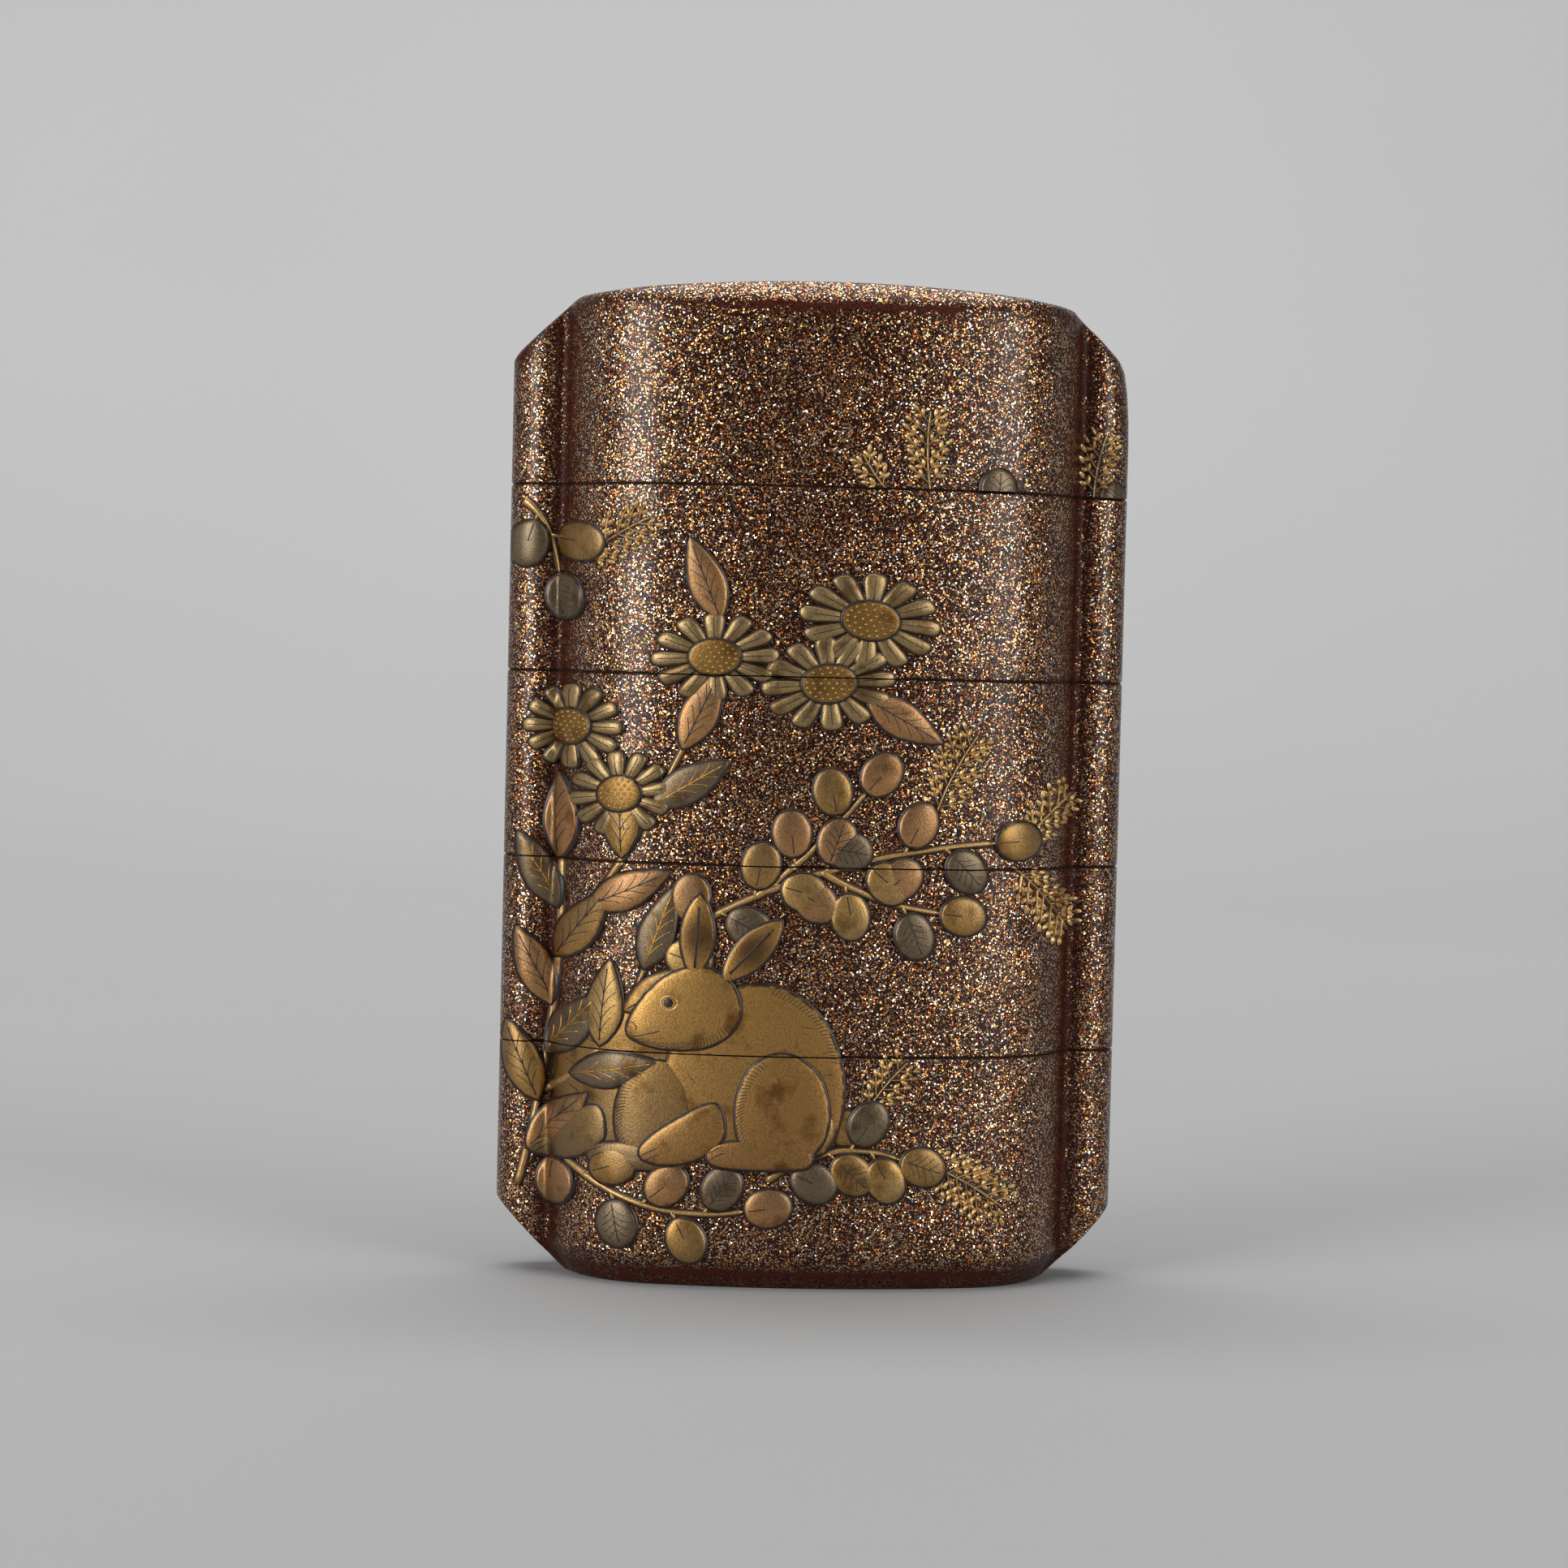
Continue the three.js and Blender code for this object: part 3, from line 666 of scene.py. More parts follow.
RABBIT = {
    "coat": [
        [0.3, 0.12], [0.36, 0.34], [0.34, 0.6], [0.12, 0.84], [-0.14, 0.9],
        [-0.38, 0.76], [-0.5, 0.5], [-0.5, 0.26], [-0.4, 0.06], [-0.05, 0.03],
    ],
    "haunch": [
        [-0.02, 0.08], [0.02, 0.3], [-0.06, 0.5], [-0.22, 0.56], [-0.38, 0.46],
        [-0.44, 0.26], [-0.38, 0.08], [-0.2, 0.03],
    ],
    "head": [
        [0.56, 0.66], [0.5, 0.8], [0.36, 0.94], [0.18, 0.98], [0.04, 0.88],
        [0.02, 0.72], [0.14, 0.6], [0.34, 0.57], [0.5, 0.6],
    ],
    "foreleg": [
        [0.12, 0.3], [0.3, 0.22], [0.46, 0.1], [0.48, 0.02], [0.36, -0.01],
        [0.2, 0.03], [0.08, 0.14],
    ],
    "foot": [
        [-0.34, 0.08], [-0.1, 0.12], [0.1, 0.1], [0.16, 0.04], [0.1, -0.01],
        [-0.15, -0.02], [-0.34, 0],
    ],
    "tail": [
        [-0.46, 0.24], [-0.54, 0.28], [-0.62, 0.22], [-0.58, 0.12], [-0.48, 0.12],
    ],
}
FUR = 0.07
FUR_LEAN = 0.3
EAR = (0.42, 0.16)
EAR_ROOTS = [(0.24, 0.93, -0.05), (0.1, 0.92, -0.75)]


def comb(faces, dome, start, end, slant=0.5):
    """A comb of short strokes of fur inside an edge, from one bearing to another."""
    for angle in np.arange(start, end, 0.36 / np.mean(dome.radii)):
        way = np.array([math.cos(angle), math.sin(angle)])
        radius = dome.radius(angle)
        across = np.array([-way[1], way[0]]) * slant
        foot = dome.centre + way * (radius - 0.1)
        tip = dome.centre + way * (radius - 0.75) + across * 0.6
        groove(faces, dome, bezier(foot, (foot + tip) / 2 + across * 0.1, tip, 4), 0.03, 0.01)


class Rabbit:
    """A resting rabbit, placed by the middle of its underside."""

    def __init__(self, at, length, facing, tint, shade):
        self.at = np.asarray(at, float)
        self.length = length
        self.facing = facing
        self.tint = tint
        self.shade = shade

    def spots(self, shares):
        return self.at + np.asarray(shares, float) * self.length * [self.facing, 1]

    def part(self, faces, name, level, full=1.0):
        outline = even_loop(self.spots(RABBIT[name]), 0.42)

        def tint(points):
            share = (points[:, 1] - self.at[1]) / (0.9 * self.length)
            return mix(self.shade, self.tint, 0.35 + 0.8 * share)

        dome = Dome(outline, level, tint, full)
        dome.build(faces)
        return dome

    def strokes(self, faces, dome, count, seed):
        """Short incised strokes of fur, running back along the body."""
        local = random.Random(seed)
        low, high = dome.outline.min(0), dome.outline.max(0)
        made = 0
        while made < count:
            spot = np.array([local.uniform(low[0], high[0]), local.uniform(low[1], high[1])])
            offset = spot - dome.centre
            radius = dome.radius(math.atan2(offset[1], offset[0]))
            if np.linalg.norm(offset) > 0.86 * radius:
                continue
            made += 1
            lean = FUR_LEAN + local.uniform(-0.25, 0.25) + 0.5 * offset[0] / radius * self.facing
            way = np.array([-self.facing * math.cos(lean), -math.sin(lean)])
            end = spot + way * FUR * self.length * local.uniform(0.6, 1.2)
            bow = (spot + end) / 2 + np.array([-way[1], way[0]]) * 0.06
            groove(faces, dome, bezier(spot, bow, end, 4), 0.026, 0.008)

    def toes(self, faces, dome, name):
        """Short dark lines between the toes at a paw's tip."""
        tip = max(RABBIT[name])
        for back, up in ((0.0, 0.035), (0.015, 0.005)):
            start, bow, end = tip + np.array([
                (-0.01 - back, -0.02 + up), (-0.04, up), (-0.075 - back, 0.015 + up),
            ])
            groove(faces, dome, self.spots(bezier(start, bow, end, 5)), 0.045)

    def body(self, faces, level, seed):
        """All but the head, from the far parts to the near ones."""
        self.part(faces, "tail", max(0, level - 1))
        coat = self.part(faces, "coat", level)
        self.strokes(faces, coat, round(1.2 * self.length), seed)
        comb(faces, coat, 0.2, 1.4)
        near = min(2, level + 1)
        haunch = self.part(faces, "haunch", near, 0.9)
        comb(faces, haunch, 2.0, 4.4, -0.5)
        for name in ("foreleg", "foot"):
            paw = self.part(faces, name, near, 0.8)
            self.toes(faces, paw, name)

    def head(self, faces):
        """Ears, head, eye, mouth and nose."""
        ear_length = EAR[0] * self.length
        for ahead, up, lean in EAR_ROOTS[::-1]:
            root = self.spots([ahead, up])
            along = np.linspace(0, 1, 13)
            side = np.column_stack([along, np.sin(math.pi * along) ** 0.75 * EAR[1] / EAR[0] / 2])
            outline = mirrored(side) * ear_length
            angle = math.pi / 2 - self.facing * lean
            middle = placed([[0.5 * ear_length, 0]], root, angle)[0]

            def patch(points):
                away = np.linalg.norm(points - middle, axis=1) / (0.13 * self.length)
                return mix(self.tint, SMUDGE, np.clip(1.15 - away, 0, 0.85))

            ear = Dome(placed(outline, root, angle), 2, patch, 0.7, sharp=2.2)
            ear.build(faces)
            inner = np.column_stack([np.linspace(0.12, 0.85, 9), np.zeros(9)]) * ear_length
            groove(faces, ear, placed(inner, root, angle), 0.11)
        head = self.part(faces, "head", 2, 0.95)
        comb(faces, head, 3.6, 6.0)
        turn = np.linspace(0, 2 * math.pi, 20)
        eye = self.spots([0.36, 0.8])
        ring = eye + np.column_stack([np.cos(turn), 0.85 * np.sin(turn)]) * 0.042 * self.length
        ribbon(faces, ring, 0.09, head.height(ring), GOLD_PART, FROND, rise=0.05, skirt=0.05)
        bump(faces, eye, head.height(eye)[0] - 0.03, 0.034 * self.length, DARK, 0.07, DARK_PART)
        mouth = bezier([0.53, 0.625], [0.46, 0.64], [0.4, 0.66], 6)
        groove(faces, head, self.spots(mouth), 0.05)
        nose = bezier([0.54, 0.7], [0.51, 0.69], [0.515, 0.66], 4)
        groove(faces, head, self.spots(nose), 0.045)


LANCE = {"length": 7.4, "width": 2.9, "splay": 0.55, "round": False}
COIN = {"length": 3.9, "width": 3.2, "stalk": 0.8, "splay": 0.95, "round": True}

WARM = (COPPER, BRASS, COPPER, PEWTER, OLIVE, COPPER)
COOL = (PEWTER, COPPER, OLIVE)
DULL = (OLIVE, PEWTER, BRASS)
DEEP = (PEWTER, PEWTER, OLIVE)


def front_picture(faces):
    """Autumn plants over two resting rabbits, in millimetres across and up."""
    sprig(faces, LANCE, (-25.2, 7.5), (-21.5, 22), (-22, 37), 7, COOL)
    sprig(faces, LANCE, (-22.8, 16), (-17, 20), (-14.5, 28), 4, DULL)
    sprig(faces, LANCE, (-21.6, 29), (-16, 37), (-11.5, 47), 4, COOL)
    leaf(faces, LANCE, (-9, 57), 1.95, 1, COPPER)
    leaf(faces, LANCE, (3.5, 50.5), -0.5, 1, COPPER)
    sprig(faces, COIN, (-15.5, 27.5), (-4, 37), (15, 38.5), 10, WARM)
    sprig(faces, COIN, (-5.5, 33.6), (-1, 37), (3.5, 42.5), 5, WARM)
    sprig(faces, COIN, (0, 35.8), (5, 33), (10, 32.5), 4, WARM)
    sprig(faces, COIN, (-23.5, 12.5), (-16, 5), (-6, 6.8), 7, COOL)
    sprig(faces, COIN, (-4, 9.5), (1.5, 13.5), (7, 11.5), 6, DULL)
    sprig(faces, COIN, (-25.8, 66.9), (-23.4, 65.5), (-22.6, 60.8), 3, DEEP)
    daisy(faces, (-9.4, 53.8), 5.3, 0.7, 0.05)
    daisy(faces, (3.6, 57.2), 6, 0.66, -0.1)
    daisy(faces, (0.2, 51.8), 5.6, 0.7, 0.1)
    daisy(faces, (-21.2, 47.6), 4.2, 0.86, 0)
    daisy(faces, (-17, 42), 4.2, 0.86, 0.15)
    far = Rabbit((-16.5, 10.4), 16, -1, OLIVE * 0.9, PEWTER)
    near = Rabbit((-6.4, 10.8), 17, -1, OLIVE * 1.15, COPPER * 0.7)
    far.body(faces, 0, 11)
    near.body(faces, 1, 21)
    near.head(faces)
    for seed, (at, angle, length) in enumerate([
        ((9.5, 40.5), 1.1, 8), ((17, 38), 0.74, 7), ((16.5, 36.5), -0.8, 8),
        ((4, 15), 0.9, 6), ((8.5, 11.5), -0.5, 9), ((-21, 61.5), 0.6, 7),
    ]):
        frond(faces, at, angle, length, seed)


def back_picture(faces):
    """The same plants, fewer of them."""
    sprig(faces, LANCE, (-25.2, 8), (-20, 22), (-12, 31), 6, COOL)
    sprig(faces, COIN, (-17, 26), (-6, 30), (4, 23), 7, WARM)
    sprig(faces, COIN, (-25.8, 66.9), (-19, 67), (-14, 62), 4, COOL)
    daisy(faces, (-9.4, 36), 5.3, 0.8, 0.1)


def lid_front_picture(faces):
    """Ferns and low round leaves that stand on the lid's seam."""
    for seed, (at, angle, length) in enumerate([
        ((8.5, 68), 1.6, 7), ((5, 68), 2.2, 4), ((23.6, 68), 1.4, 6),
    ]):
        frond(faces, at, angle, length, 40 + seed)
    for at, level, length, width in (((14.2, 67), 1, 3.3, 3), ((25.3, 67.4), 0, 2.4, 2.2)):
        leaf(faces, {"length": length, "width": width, "round": True}, at, 1.5, level, PEWTER)


def lid_back_picture(faces):
    """One spray of round leaves."""
    sprig(faces, COIN, (19, 67), (14, 71), (8, 70.5), 4, WARM)


# How far the back's figures are lowered, and how far all stay inside the case's two sides
BACK_SHARE = 0.9
SIDE_MARGIN = 0.02


def wrapped(faces, side):
    """Puts a picture's places on the wall, its heights along the wall's normal."""
    half = front_half(0, 6)
    normals = unit_normals(half, False)
    points = np.concatenate(faces.points)
    x, z, height = points.T
    if side > 0:
        height = np.where(height > 0, BACK_SHARE * height, height)
    y, nx, ny = (np.interp(x, half[:, 0], values) for values in (half[:, 1], *normals.T))
    limit = WIDTH / 2 - SIDE_MARGIN
    out_x = np.clip(x + nx * height, -limit, limit)
    return np.column_stack([out_x, -side * (y + ny * height), z])


def picture_mesh(front, back):
    """Both sides' raised figures as one bmesh in millimetres."""
    mesh = bmesh.new()
    tint_layer = mesh.verts.layers.float_color.new("tint")
    for draw, side in ((front, -1), (back, 1)):
        faces = Faces()
        draw(faces)
        points = wrapped(faces, side)
        tints = np.concatenate(faces.tints)
        made = []
        for point, tint in zip(points, tints):
            vertex = mesh.verts.new(point)
            vertex[tint_layer] = (*tint, 1)
            made.append(vertex)
        for corners, material in zip(faces.faces, faces.materials):
            face = mesh.faces.new([made[corner] for corner in corners])
            face.material_index = material
            face.smooth = True
    bmesh.ops.remove_doubles(mesh, verts=mesh.verts, dist=1e-6)
    bmesh.ops.recalc_face_normals(mesh, faces=mesh.faces)
    return mesh


def between_seams(picture, low, high):
    """A copy of the picture's part between two seams, closed at its cuts."""
    part = picture.copy()
    for level, normal in ((low, (0, 0, -1)), (high, (0, 0, 1))):
        cut = bmesh.ops.bisect_plane(
            part, geom=part.verts[:] + part.edges[:] + part.faces[:], dist=1e-5,
            plane_co=(0, 0, level), plane_no=normal, clear_outer=True)
        edges = [item for item in cut["geom_cut"] if isinstance(item, bmesh.types.BMEdge)]
        filled = bmesh.ops.holes_fill(part, edges=edges, sides=0)
        for face in filled["faces"]:
            face.material_index = DARK_PART
    return part


def add_object(name, data):
    made = bpy.data.objects.new(name, data)
    bpy.context.scene.collection.objects.link(made)
    return made


def bore_channels(thing):
    """Cuts the two cord channels with a plain boolean."""
    cutter_mesh = bpy.data.meshes.new("channels")
    cutter = bmesh.new()
    for side in (-1, 1):
        place = Matrix.Translation((side * rib_centre[0] * MM, 0, HEIGHT / 2 * MM))
        bmesh.ops.create_cone(
            cutter, cap_ends=True, segments=CHANNEL_SIDES, radius1=CHANNEL_RADIUS * MM,
            radius2=CHANNEL_RADIUS * MM, depth=(HEIGHT + 4) * MM, matrix=place)
    for face in cutter.faces:
        face.material_index = INNER_PART
    cutter.to_mesh(cutter_mesh)
    cutter.free()
    tool = add_object("channels", cutter_mesh)
    boolean = thing.modifiers.new("channels", "BOOLEAN")
    boolean.operation = "DIFFERENCE"
    boolean.solver = "EXACT"
    boolean.object = tool
    boolean.material_mode = "INDEX"
    bpy.context.view_layer.update()
    shown = thing.evaluated_get(bpy.context.evaluated_depsgraph_get())
    bored = bpy.data.meshes.new_from_object(shown)
    thing.modifiers.clear()
    old = thing.data
    thing.data = bored
    bpy.data.meshes.remove(old)
    bpy.data.objects.remove(tool)
    bpy.data.meshes.remove(cutter_mesh)


# Wear, and the painted shade in the valleys, as shares: a ridge's usual and barest, its width, and where
# along the front it is barest
RIDGE_WEAR = 0.55
TOP_RIDGE = {"width": 0.35, "middle": 2, "reach": 9, "most": 0.95}
BASE_RIDGE = {"width": 0.42, "middle": 1, "reach": 15, "most": 0.9}
BASE_RIDGE_DROP = 1.25
UNDERSIDE_WEAR = 0.68
# Flakes thinned in the cord valleys: partly worn lacquer, partly painted shade in the crease
VALLEY_WEAR_AND_SHADE = 0.74
VALLEY_PLACE = 22.5
VALLEY_WIDTH = 1.2
OUTSIDE_DEPTH = 2.6


def worn_ridge(above, x, width, middle, reach, most):
    """Wear along a ridge, by the height above it, barest on a stretch of the front."""
    barest = np.abs(x - middle) < reach
    return np.exp(-(above / width) ** 2) * np.where(barest, most, RIDGE_WEAR)


def wear_and_shade_of(points):
    """How bare of flakes each place is: worst along the ridges, and some below; in the valleys the band is
    partly worn lacquer and partly painted shade.
    """
    x, y, z = points.T
    loop = closed_loop(front_half(0, 2))
    inset = np.array([np.hypot(loop[:, 0] - px, loop[:, 1] - py).min() for px, py in points[:, :2]])
    top_edge = top_height(x, np.zeros_like(x))
    base_edge = base_height(x, np.zeros_like(x))
    left_corner = ((x + 26.4) / 0.9) ** 2 + ((z - 79.6) / 1.2) ** 2
    valley = ((np.abs(x) - VALLEY_PLACE) / VALLEY_WIDTH) ** 2
    return (inset < OUTSIDE_DEPTH) * np.maximum.reduce([
        worn_ridge(z - top_edge, x, **TOP_RIDGE),
        worn_ridge(z - base_edge + BASE_RIDGE_DROP, x, **BASE_RIDGE),
        np.exp(-left_corner),
        UNDERSIDE_WEAR * (z < base_edge - 1.0) * (z < BASE_BEVEL[0]),
        # The valleys' darker band: partly worn lacquer, partly painted shade
        VALLEY_WEAR_AND_SHADE * np.exp(-valley) * (np.abs(y) > 2),
    ])


# How far the picture is cut back from a seam, and the angle from which an edge is sharp
SEAM_MARGIN = 0.06
SHARP_ANGLE = math.radians(38)


def body_mesh(name):
    """The body of one piece as a mesh in metres."""
    faces = body_faces(name)
    mesh = bpy.data.meshes.new(name + "_body")
    mesh.from_pydata((np.concatenate(faces.points) * MM).tolist(), [], faces.faces)
    mesh.polygons.foreach_set("material_index", faces.materials)
    for material in MATERIALS:
        mesh.materials.append(material)
    clean = bmesh.new()
    clean.from_mesh(mesh)
    bmesh.ops.remove_doubles(clean, verts=clean.verts, dist=1e-7)
    bmesh.ops.recalc_face_normals(clean, faces=clean.faces)
    clean.to_mesh(mesh)
    clean.free()
    return mesh


def dress(mesh, picture, low, high):
    """Marks the wear, and the painted shade in the valleys, on a body and adds the raised figures between
    two levels.
    """
    mesh.shade_smooth()
    mesh.set_sharp_from_angle(angle=SHARP_ANGLE)
    body = bmesh.new()
    body.from_mesh(mesh)
    body.verts.layers.float_color.new("tint")
    wear_and_shade_layer = body.verts.layers.float.new("wear_and_shade")
    spots = np.array([vertex.co for vertex in body.verts]) / MM
    for vertex, wear_and_shade in zip(body.verts, wear_and_shade_of(spots)):
        vertex[wear_and_shade_layer] = wear_and_shade
    part = between_seams(picture, low + SEAM_MARGIN, high - SEAM_MARGIN)
    bmesh.ops.scale(part, vec=(MM, MM, MM), verts=part.verts)
    carried = bpy.data.meshes.new("picture")
    part.to_mesh(carried)
    part.free()
    body.from_mesh(carried)
    body.to_mesh(mesh)
    body.free()
    bpy.data.meshes.remove(carried)


def make_piece(name, picture):
    place = CASES.index(name)
    thing = add_object("inro_" + name, body_mesh(name))
    bore_channels(thing)
    dress(thing.data, picture, LEVELS[place], HEIGHT + 1 if name == "lid" else LEVELS[place + 1])
    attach(thing, "root")
    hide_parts(name)


# Materials

class Look:
    """A new node material, with short calls that add nodes and give a node's output."""

    def __init__(self, name):
        self.material = bpy.data.materials.new(name)
        self.material.use_nodes = True
        self.tree = self.material.node_tree
        self.place = self.node("TexCoord")["Object"]

    def feed(self, node, inputs):
        """Links each input to an output, or sets it to a value."""
        for key, value in inputs.items():
            if isinstance(value, bpy.types.NodeSocket):
                self.tree.links.new(value, node.inputs[key])
            else:
                node.inputs[key].default_value = value

    def node(self, kind, inputs=None, **settings):
        made = self.tree.nodes.new("ShaderNode" + kind)
        for key, value in settings.items():
            setattr(made, key, value)
        self.feed(made, inputs or {})
        return made.outputs

    def shader(self, inputs):
        self.feed(self.tree.nodes["Principled BSDF"], inputs)
        return self.material

    def noise(self, scale, detail):
        return self.node("TexNoise", {"Vector": self.place, "Scale": scale, "Detail": detail})

    def math(self, operation, *values, **settings):
        return self.node("Math", dict(enumerate(values)), operation=operation, **settings)[0]

    def vector(self, operation, *values, **named):
        return self.node("VectorMath", {**dict(enumerate(values)), **named}, operation=operation)[0]

    def mix(self, factor, a, b, blend="MIX"):
        inputs = {"Factor": factor, "A": a, "B": b}
        return self.node("Mix", inputs, data_type="RGBA", blend_type=blend)["Result"]

    def ramp(self, factor, stops, interpolation="LINEAR"):
        outputs = self.node("ValToRGB", {"Fac": factor})
        colours = outputs["Color"].node.color_ramp
        colours.interpolation = interpolation
        while len(colours.elements) < len(stops):
            colours.elements.new(0.5)
        for element, (place, colour) in zip(colours.elements, stops):
            element.position = place
            element.color = (*colour, 1)
        return outputs["Color"]


FLAKE_SCALE = 8200.0
FLAKE_COLOURS = [
    (0.0, (1.0, 0.94, 0.84)), (0.14, (0.98, 0.68, 0.36)), (0.32, (0.84, 0.36, 0.09)),
    (0.56, (0.42, 0.10, 0.022)), (0.74, (0.08, 0.014, 0.006)),
]


def flaked_ground():
    """Dense gold and silver flakes over red-brown lacquer, under a clear gloss coat."""
    look = Look("flaked_lacquer")
    shift = look.vector("SCALE", look.noise(6500.0, 2.0)["Color"], Scale=0.00016)
    place = look.vector("ADD", look.place, shift)
    cells = {"Vector": place, "Scale": FLAKE_SCALE}
    chance = look.node("TexVoronoi", cells)["Color"]
    edge = look.node("TexVoronoi", cells, feature="DISTANCE_TO_EDGE")["Distance"]
    parts = look.node("SeparateColor", {0: chance})
    colours = look.ramp(parts[0], FLAKE_COLOURS, "CONSTANT")

    share = look.math("MULTIPLY_ADD", look.noise(260.0, 3.0)["Fac"], -0.6, 0.95)
    kept = look.math("LESS_THAN", parts[1], share)
    shown = look.math("MULTIPLY", kept, look.math("GREATER_THAN", edge, 0.1))
    # This attribute carries wear and, in the cord valleys, painted shade: flakes there are thinned and
    # darkened
    wear_and_shade = look.node("Attribute", attribute_name="wear_and_shade")["Fac"]
    worn_and_shaded = look.math("ADD", wear_and_shade, look.noise(900.0, 3.0)["Fac"])
    mask = look.math("MULTIPLY", shown, look.math("LESS_THAN", worn_and_shaded, 1.25))

    lacquer = look.mix(wear_and_shade, (0.012, 0.0028, 0.0014, 1), (0.06, 0.014, 0.009, 1))
    # Flakes dimmed where worn, and by the painted shade in the valleys
    unworn_and_unshaded = look.math("MULTIPLY_ADD", wear_and_shade, -1.1, 1.0, use_clamp=True)
    rubbed = look.vector("SCALE", colours, Scale=unworn_and_unshaded)
    turn = look.node("TexWhiteNoise", {"Vector": chance}, noise_dimensions="3D")["Color"]
    lean = look.vector("SCALE", look.vector("SUBTRACT", turn, (0.5, 0.5, 0.5)), Scale=0.58)
    leaning = look.vector("ADD", look.node("NewGeometry")["Normal"], lean)
    return look.shader({
        "Base Color": look.mix(mask, lacquer, rubbed),
        "Metallic": mask,
        "Normal": look.vector("NORMALIZE", leaning),
        "Roughness": 0.23,
        "Specular IOR Level": 0.05,
        "Coat Weight": look.math("MULTIPLY", unworn_and_unshaded, 0.42),
        "Coat Roughness": 0.28,
        "Coat IOR": 1.5,
    })


def inner_lacquer():
    """Red-brown lacquer with sparse fine flakes, on the hidden surfaces."""
    look = Look("inner_lacquer")
    chance = look.node("TexVoronoi", {"Vector": look.place, "Scale": 3200.0})["Color"]
    few = look.math("GREATER_THAN", look.node("SeparateColor", {0: chance})[0], 0.7)
    cloud = look.noise(120.0, 4.0)["Fac"]
    ground = look.ramp(cloud, [(0.3, (0.05, 0.012, 0.006)), (0.7, (0.11, 0.028, 0.012))])
    return look.shader({
        "Base Color": look.mix(few, ground, (0.55, 0.33, 0.12, 1)),
        "Metallic": few,
        "Roughness": 0.32,
        "Coat Weight": 0.7,
        "Coat Roughness": 0.12,
    })


def raised_gold():
    """Gold powder on the raised figures, rubbed thin in places."""
    look = Look("raised_gold")
    grain = look.noise(6500.0, 2.0)["Fac"]
    speckle = look.ramp(grain, [(0.3, (0.7, 0.66, 0.6)), (0.6, (1.1, 1.08, 1.0))])
    rubbed = look.ramp(look.noise(420.0, 4.0)["Fac"], [(0.3, (0.5, 0.42, 0.36)), (0.46, (1, 1, 1))])
    tint = look.node("Attribute", attribute_name="tint")["Color"]
    colour = look.mix(1, look.mix(1, tint, speckle, "MULTIPLY"), rubbed, "MULTIPLY")
    rough = look.node("Bump", {"Strength": 0.35, "Distance": 0.00006, "Height": grain})
    return look.shader({"Base Color": colour, "Normal": rough["Normal"], "Metallic": 0.9, "Roughness": 0.4})


def dark_line():
    """Dark lacquer in the fine lines and borders of the figures."""
    look = Look("dark_line")
    cloud = look.noise(1500.0, 3.0)["Fac"]
    colour = look.ramp(cloud, [(0.35, (0.008, 0.004, 0.003)), (0.7, (0.035, 0.014, 0.008))])
    return look.shader({"Base Color": colour, "Roughness": 0.38})


def pale_backdrop():
    """Pale paper, with painted light: its colour is lighter towards the back and darker towards the front.
    """
    look = Look("backdrop")
    cloud = look.noise(3.0, 2.0)["Fac"]
    colour = look.ramp(cloud, [(0.3, (0.43, 0.43, 0.433)), (0.7, (0.45, 0.45, 0.453))])
    # Painted light: the paper's colour is scaled up towards the back
    painted_light_grade = look.node("MapRange", {
        "Value": look.node("SeparateXYZ", {0: look.place})["Y"],
        "From Min": -0.35, "From Max": 0.9, "To Min": 0.7, "To Max": 1.12,
    })
    painted_light_colour = look.vector("SCALE", colour, Scale=painted_light_grade["Result"])
    return look.shader({"Base Color": painted_light_colour, "Roughness": 0.9, "Specular IOR Level": 0.2})


MATERIALS = [flaked_ground(), inner_lacquer(), raised_gold(), dark_line()]

body_picture = picture_mesh(front_picture, back_picture)
lid_picture = picture_mesh(lid_front_picture, lid_back_picture)
for case in CASES:
    make_piece(case, lid_picture if case == "lid" else body_picture)


# Camera, floor and light

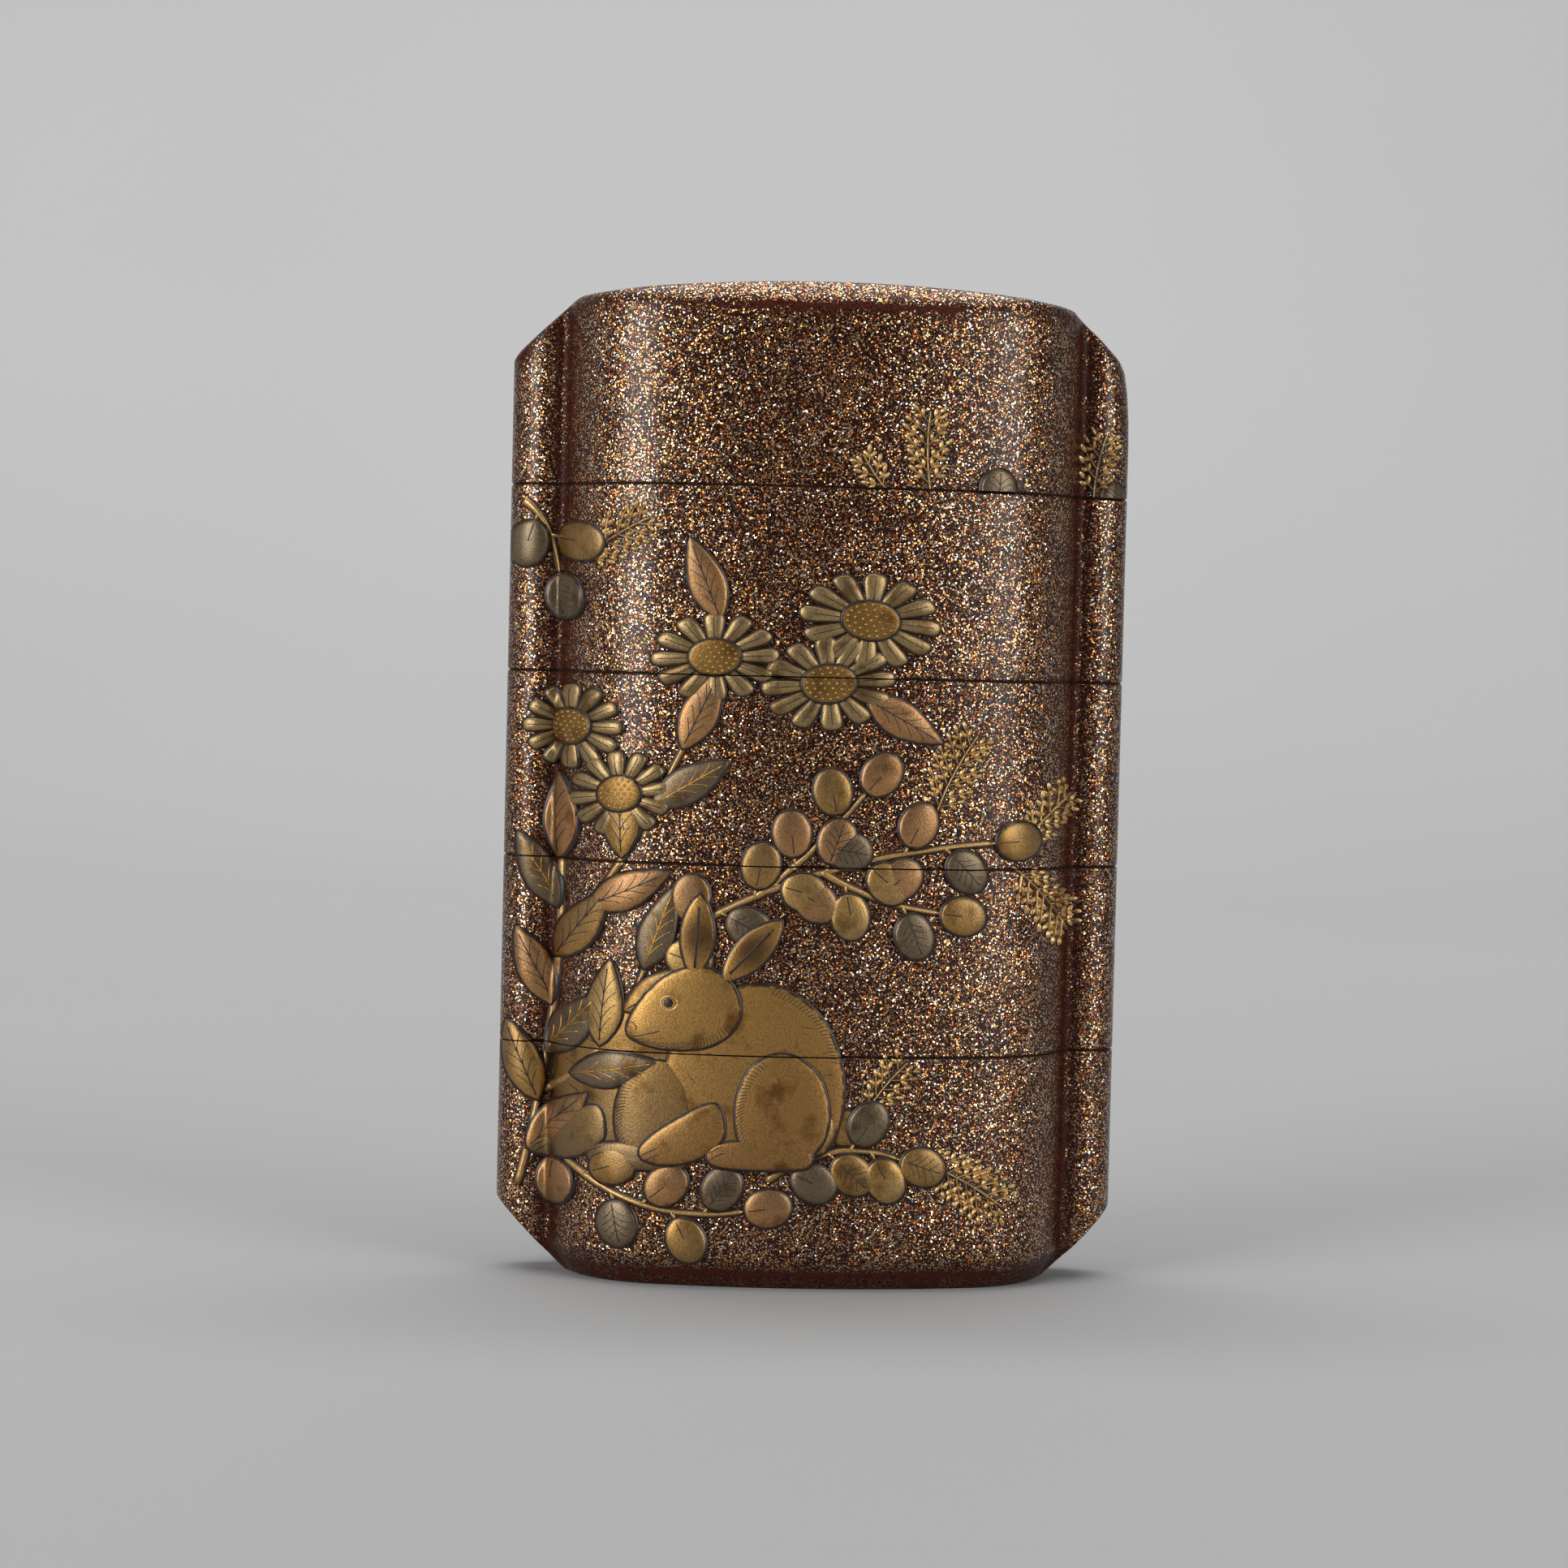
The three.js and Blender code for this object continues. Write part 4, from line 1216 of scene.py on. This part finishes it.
def make_camera():
    distance = 0.344
    height = 0.0552
    azimuth = math.radians(4)
    heading = math.radians(4 - 0.432)
    pitch = math.radians(2.07)
    roll = math.radians(1.38)
    level_ahead = Vector((math.sin(heading), math.cos(heading), 0))
    ahead = level_ahead * math.cos(pitch) - Vector((0, 0, math.sin(pitch)))
    level = ahead.cross(Vector((0, 0, 1))).normalized()
    upright = level.cross(ahead)
    right = level * math.cos(roll) + upright * math.sin(roll)
    up = upright * math.cos(roll) - level * math.sin(roll)
    camera = add_object("camera", bpy.data.cameras.new("camera"))
    place = Matrix.Translation((-distance * math.sin(azimuth), -distance * math.cos(azimuth), height))
    camera.matrix_world = place @ Matrix((right, up, -ahead)).transposed().to_4x4()
    camera.data.lens = 90
    camera.data.sensor_width = 36
    camera.data.sensor_fit = "HORIZONTAL"
    camera.data.clip_start = 0.01
    bpy.context.scene.camera = camera


def make_stage():
    """A pale floor that bends up into a backdrop."""
    front, back, bend, half, top = -1.5, 0.5, 0.6, 2, 2.4
    section = [(front, 0), (back, 0)]
    for angle in np.linspace(0.1, math.pi / 2, 16):
        section.append((back + bend * math.sin(angle), bend - bend * math.cos(angle)))
    section.append((back + bend, top))
    points = [(x, y, z) for y, z in section for x in (-half, half)]
    quads = [(2 * i, 2 * i + 1, 2 * i + 3, 2 * i + 2) for i in range(len(section) - 1)]
    mesh = bpy.data.meshes.new("backdrop")
    mesh.from_pydata(points, [], quads)
    mesh.shade_smooth()
    mesh.materials.append(pale_backdrop())
    add_object("backdrop", mesh)


def area_light(name, place, target, size, power):
    data = bpy.data.lights.new(name, "AREA")
    data.shape = "RECTANGLE"
    data.size, data.size_y = size
    data.energy = power
    light = add_object(name, data)
    light.location = place
    light.rotation_euler = (Vector(target) - Vector(place)).to_track_quat("-Z", "Y").to_euler()


# Upright lights round the case: azimuth in degrees and power in watts
SIDE_LIGHTS = {"left": (-50, 4.8), "right": (47, 3.4), "far left": (-98, 0.45), "far right": (98, 0.25)}
SIDE_DISTANCE = 0.75
SIDE_HEIGHT = 0.26


def make_lights():
    middle = (0, 0, 0.05)
    for name, (azimuth, power) in SIDE_LIGHTS.items():
        angle = math.radians(azimuth)
        place = (SIDE_DISTANCE * math.sin(angle), -SIDE_DISTANCE * math.cos(angle), SIDE_HEIGHT)
        area_light(name, place, middle, (0.38, 0.6), power)
    area_light("top", (0, 0.05, 0.95), middle, (0.9, 0.7), 4.6)
    area_light("back", (0, 0.45, 1.3), (0, 1.1, 0.35), (1.4, 0.5), 11)
    world = bpy.data.worlds.new("studio")
    bpy.context.scene.world = world
    world.use_nodes = True
    background = world.node_tree.nodes["Background"]
    background.inputs["Color"].default_value = (1, 0.99, 0.97, 1)
    background.inputs["Strength"].default_value = 0.06


make_camera()
make_stage()
make_lights()
bpy.context.scene.view_settings.view_transform = "Standard"
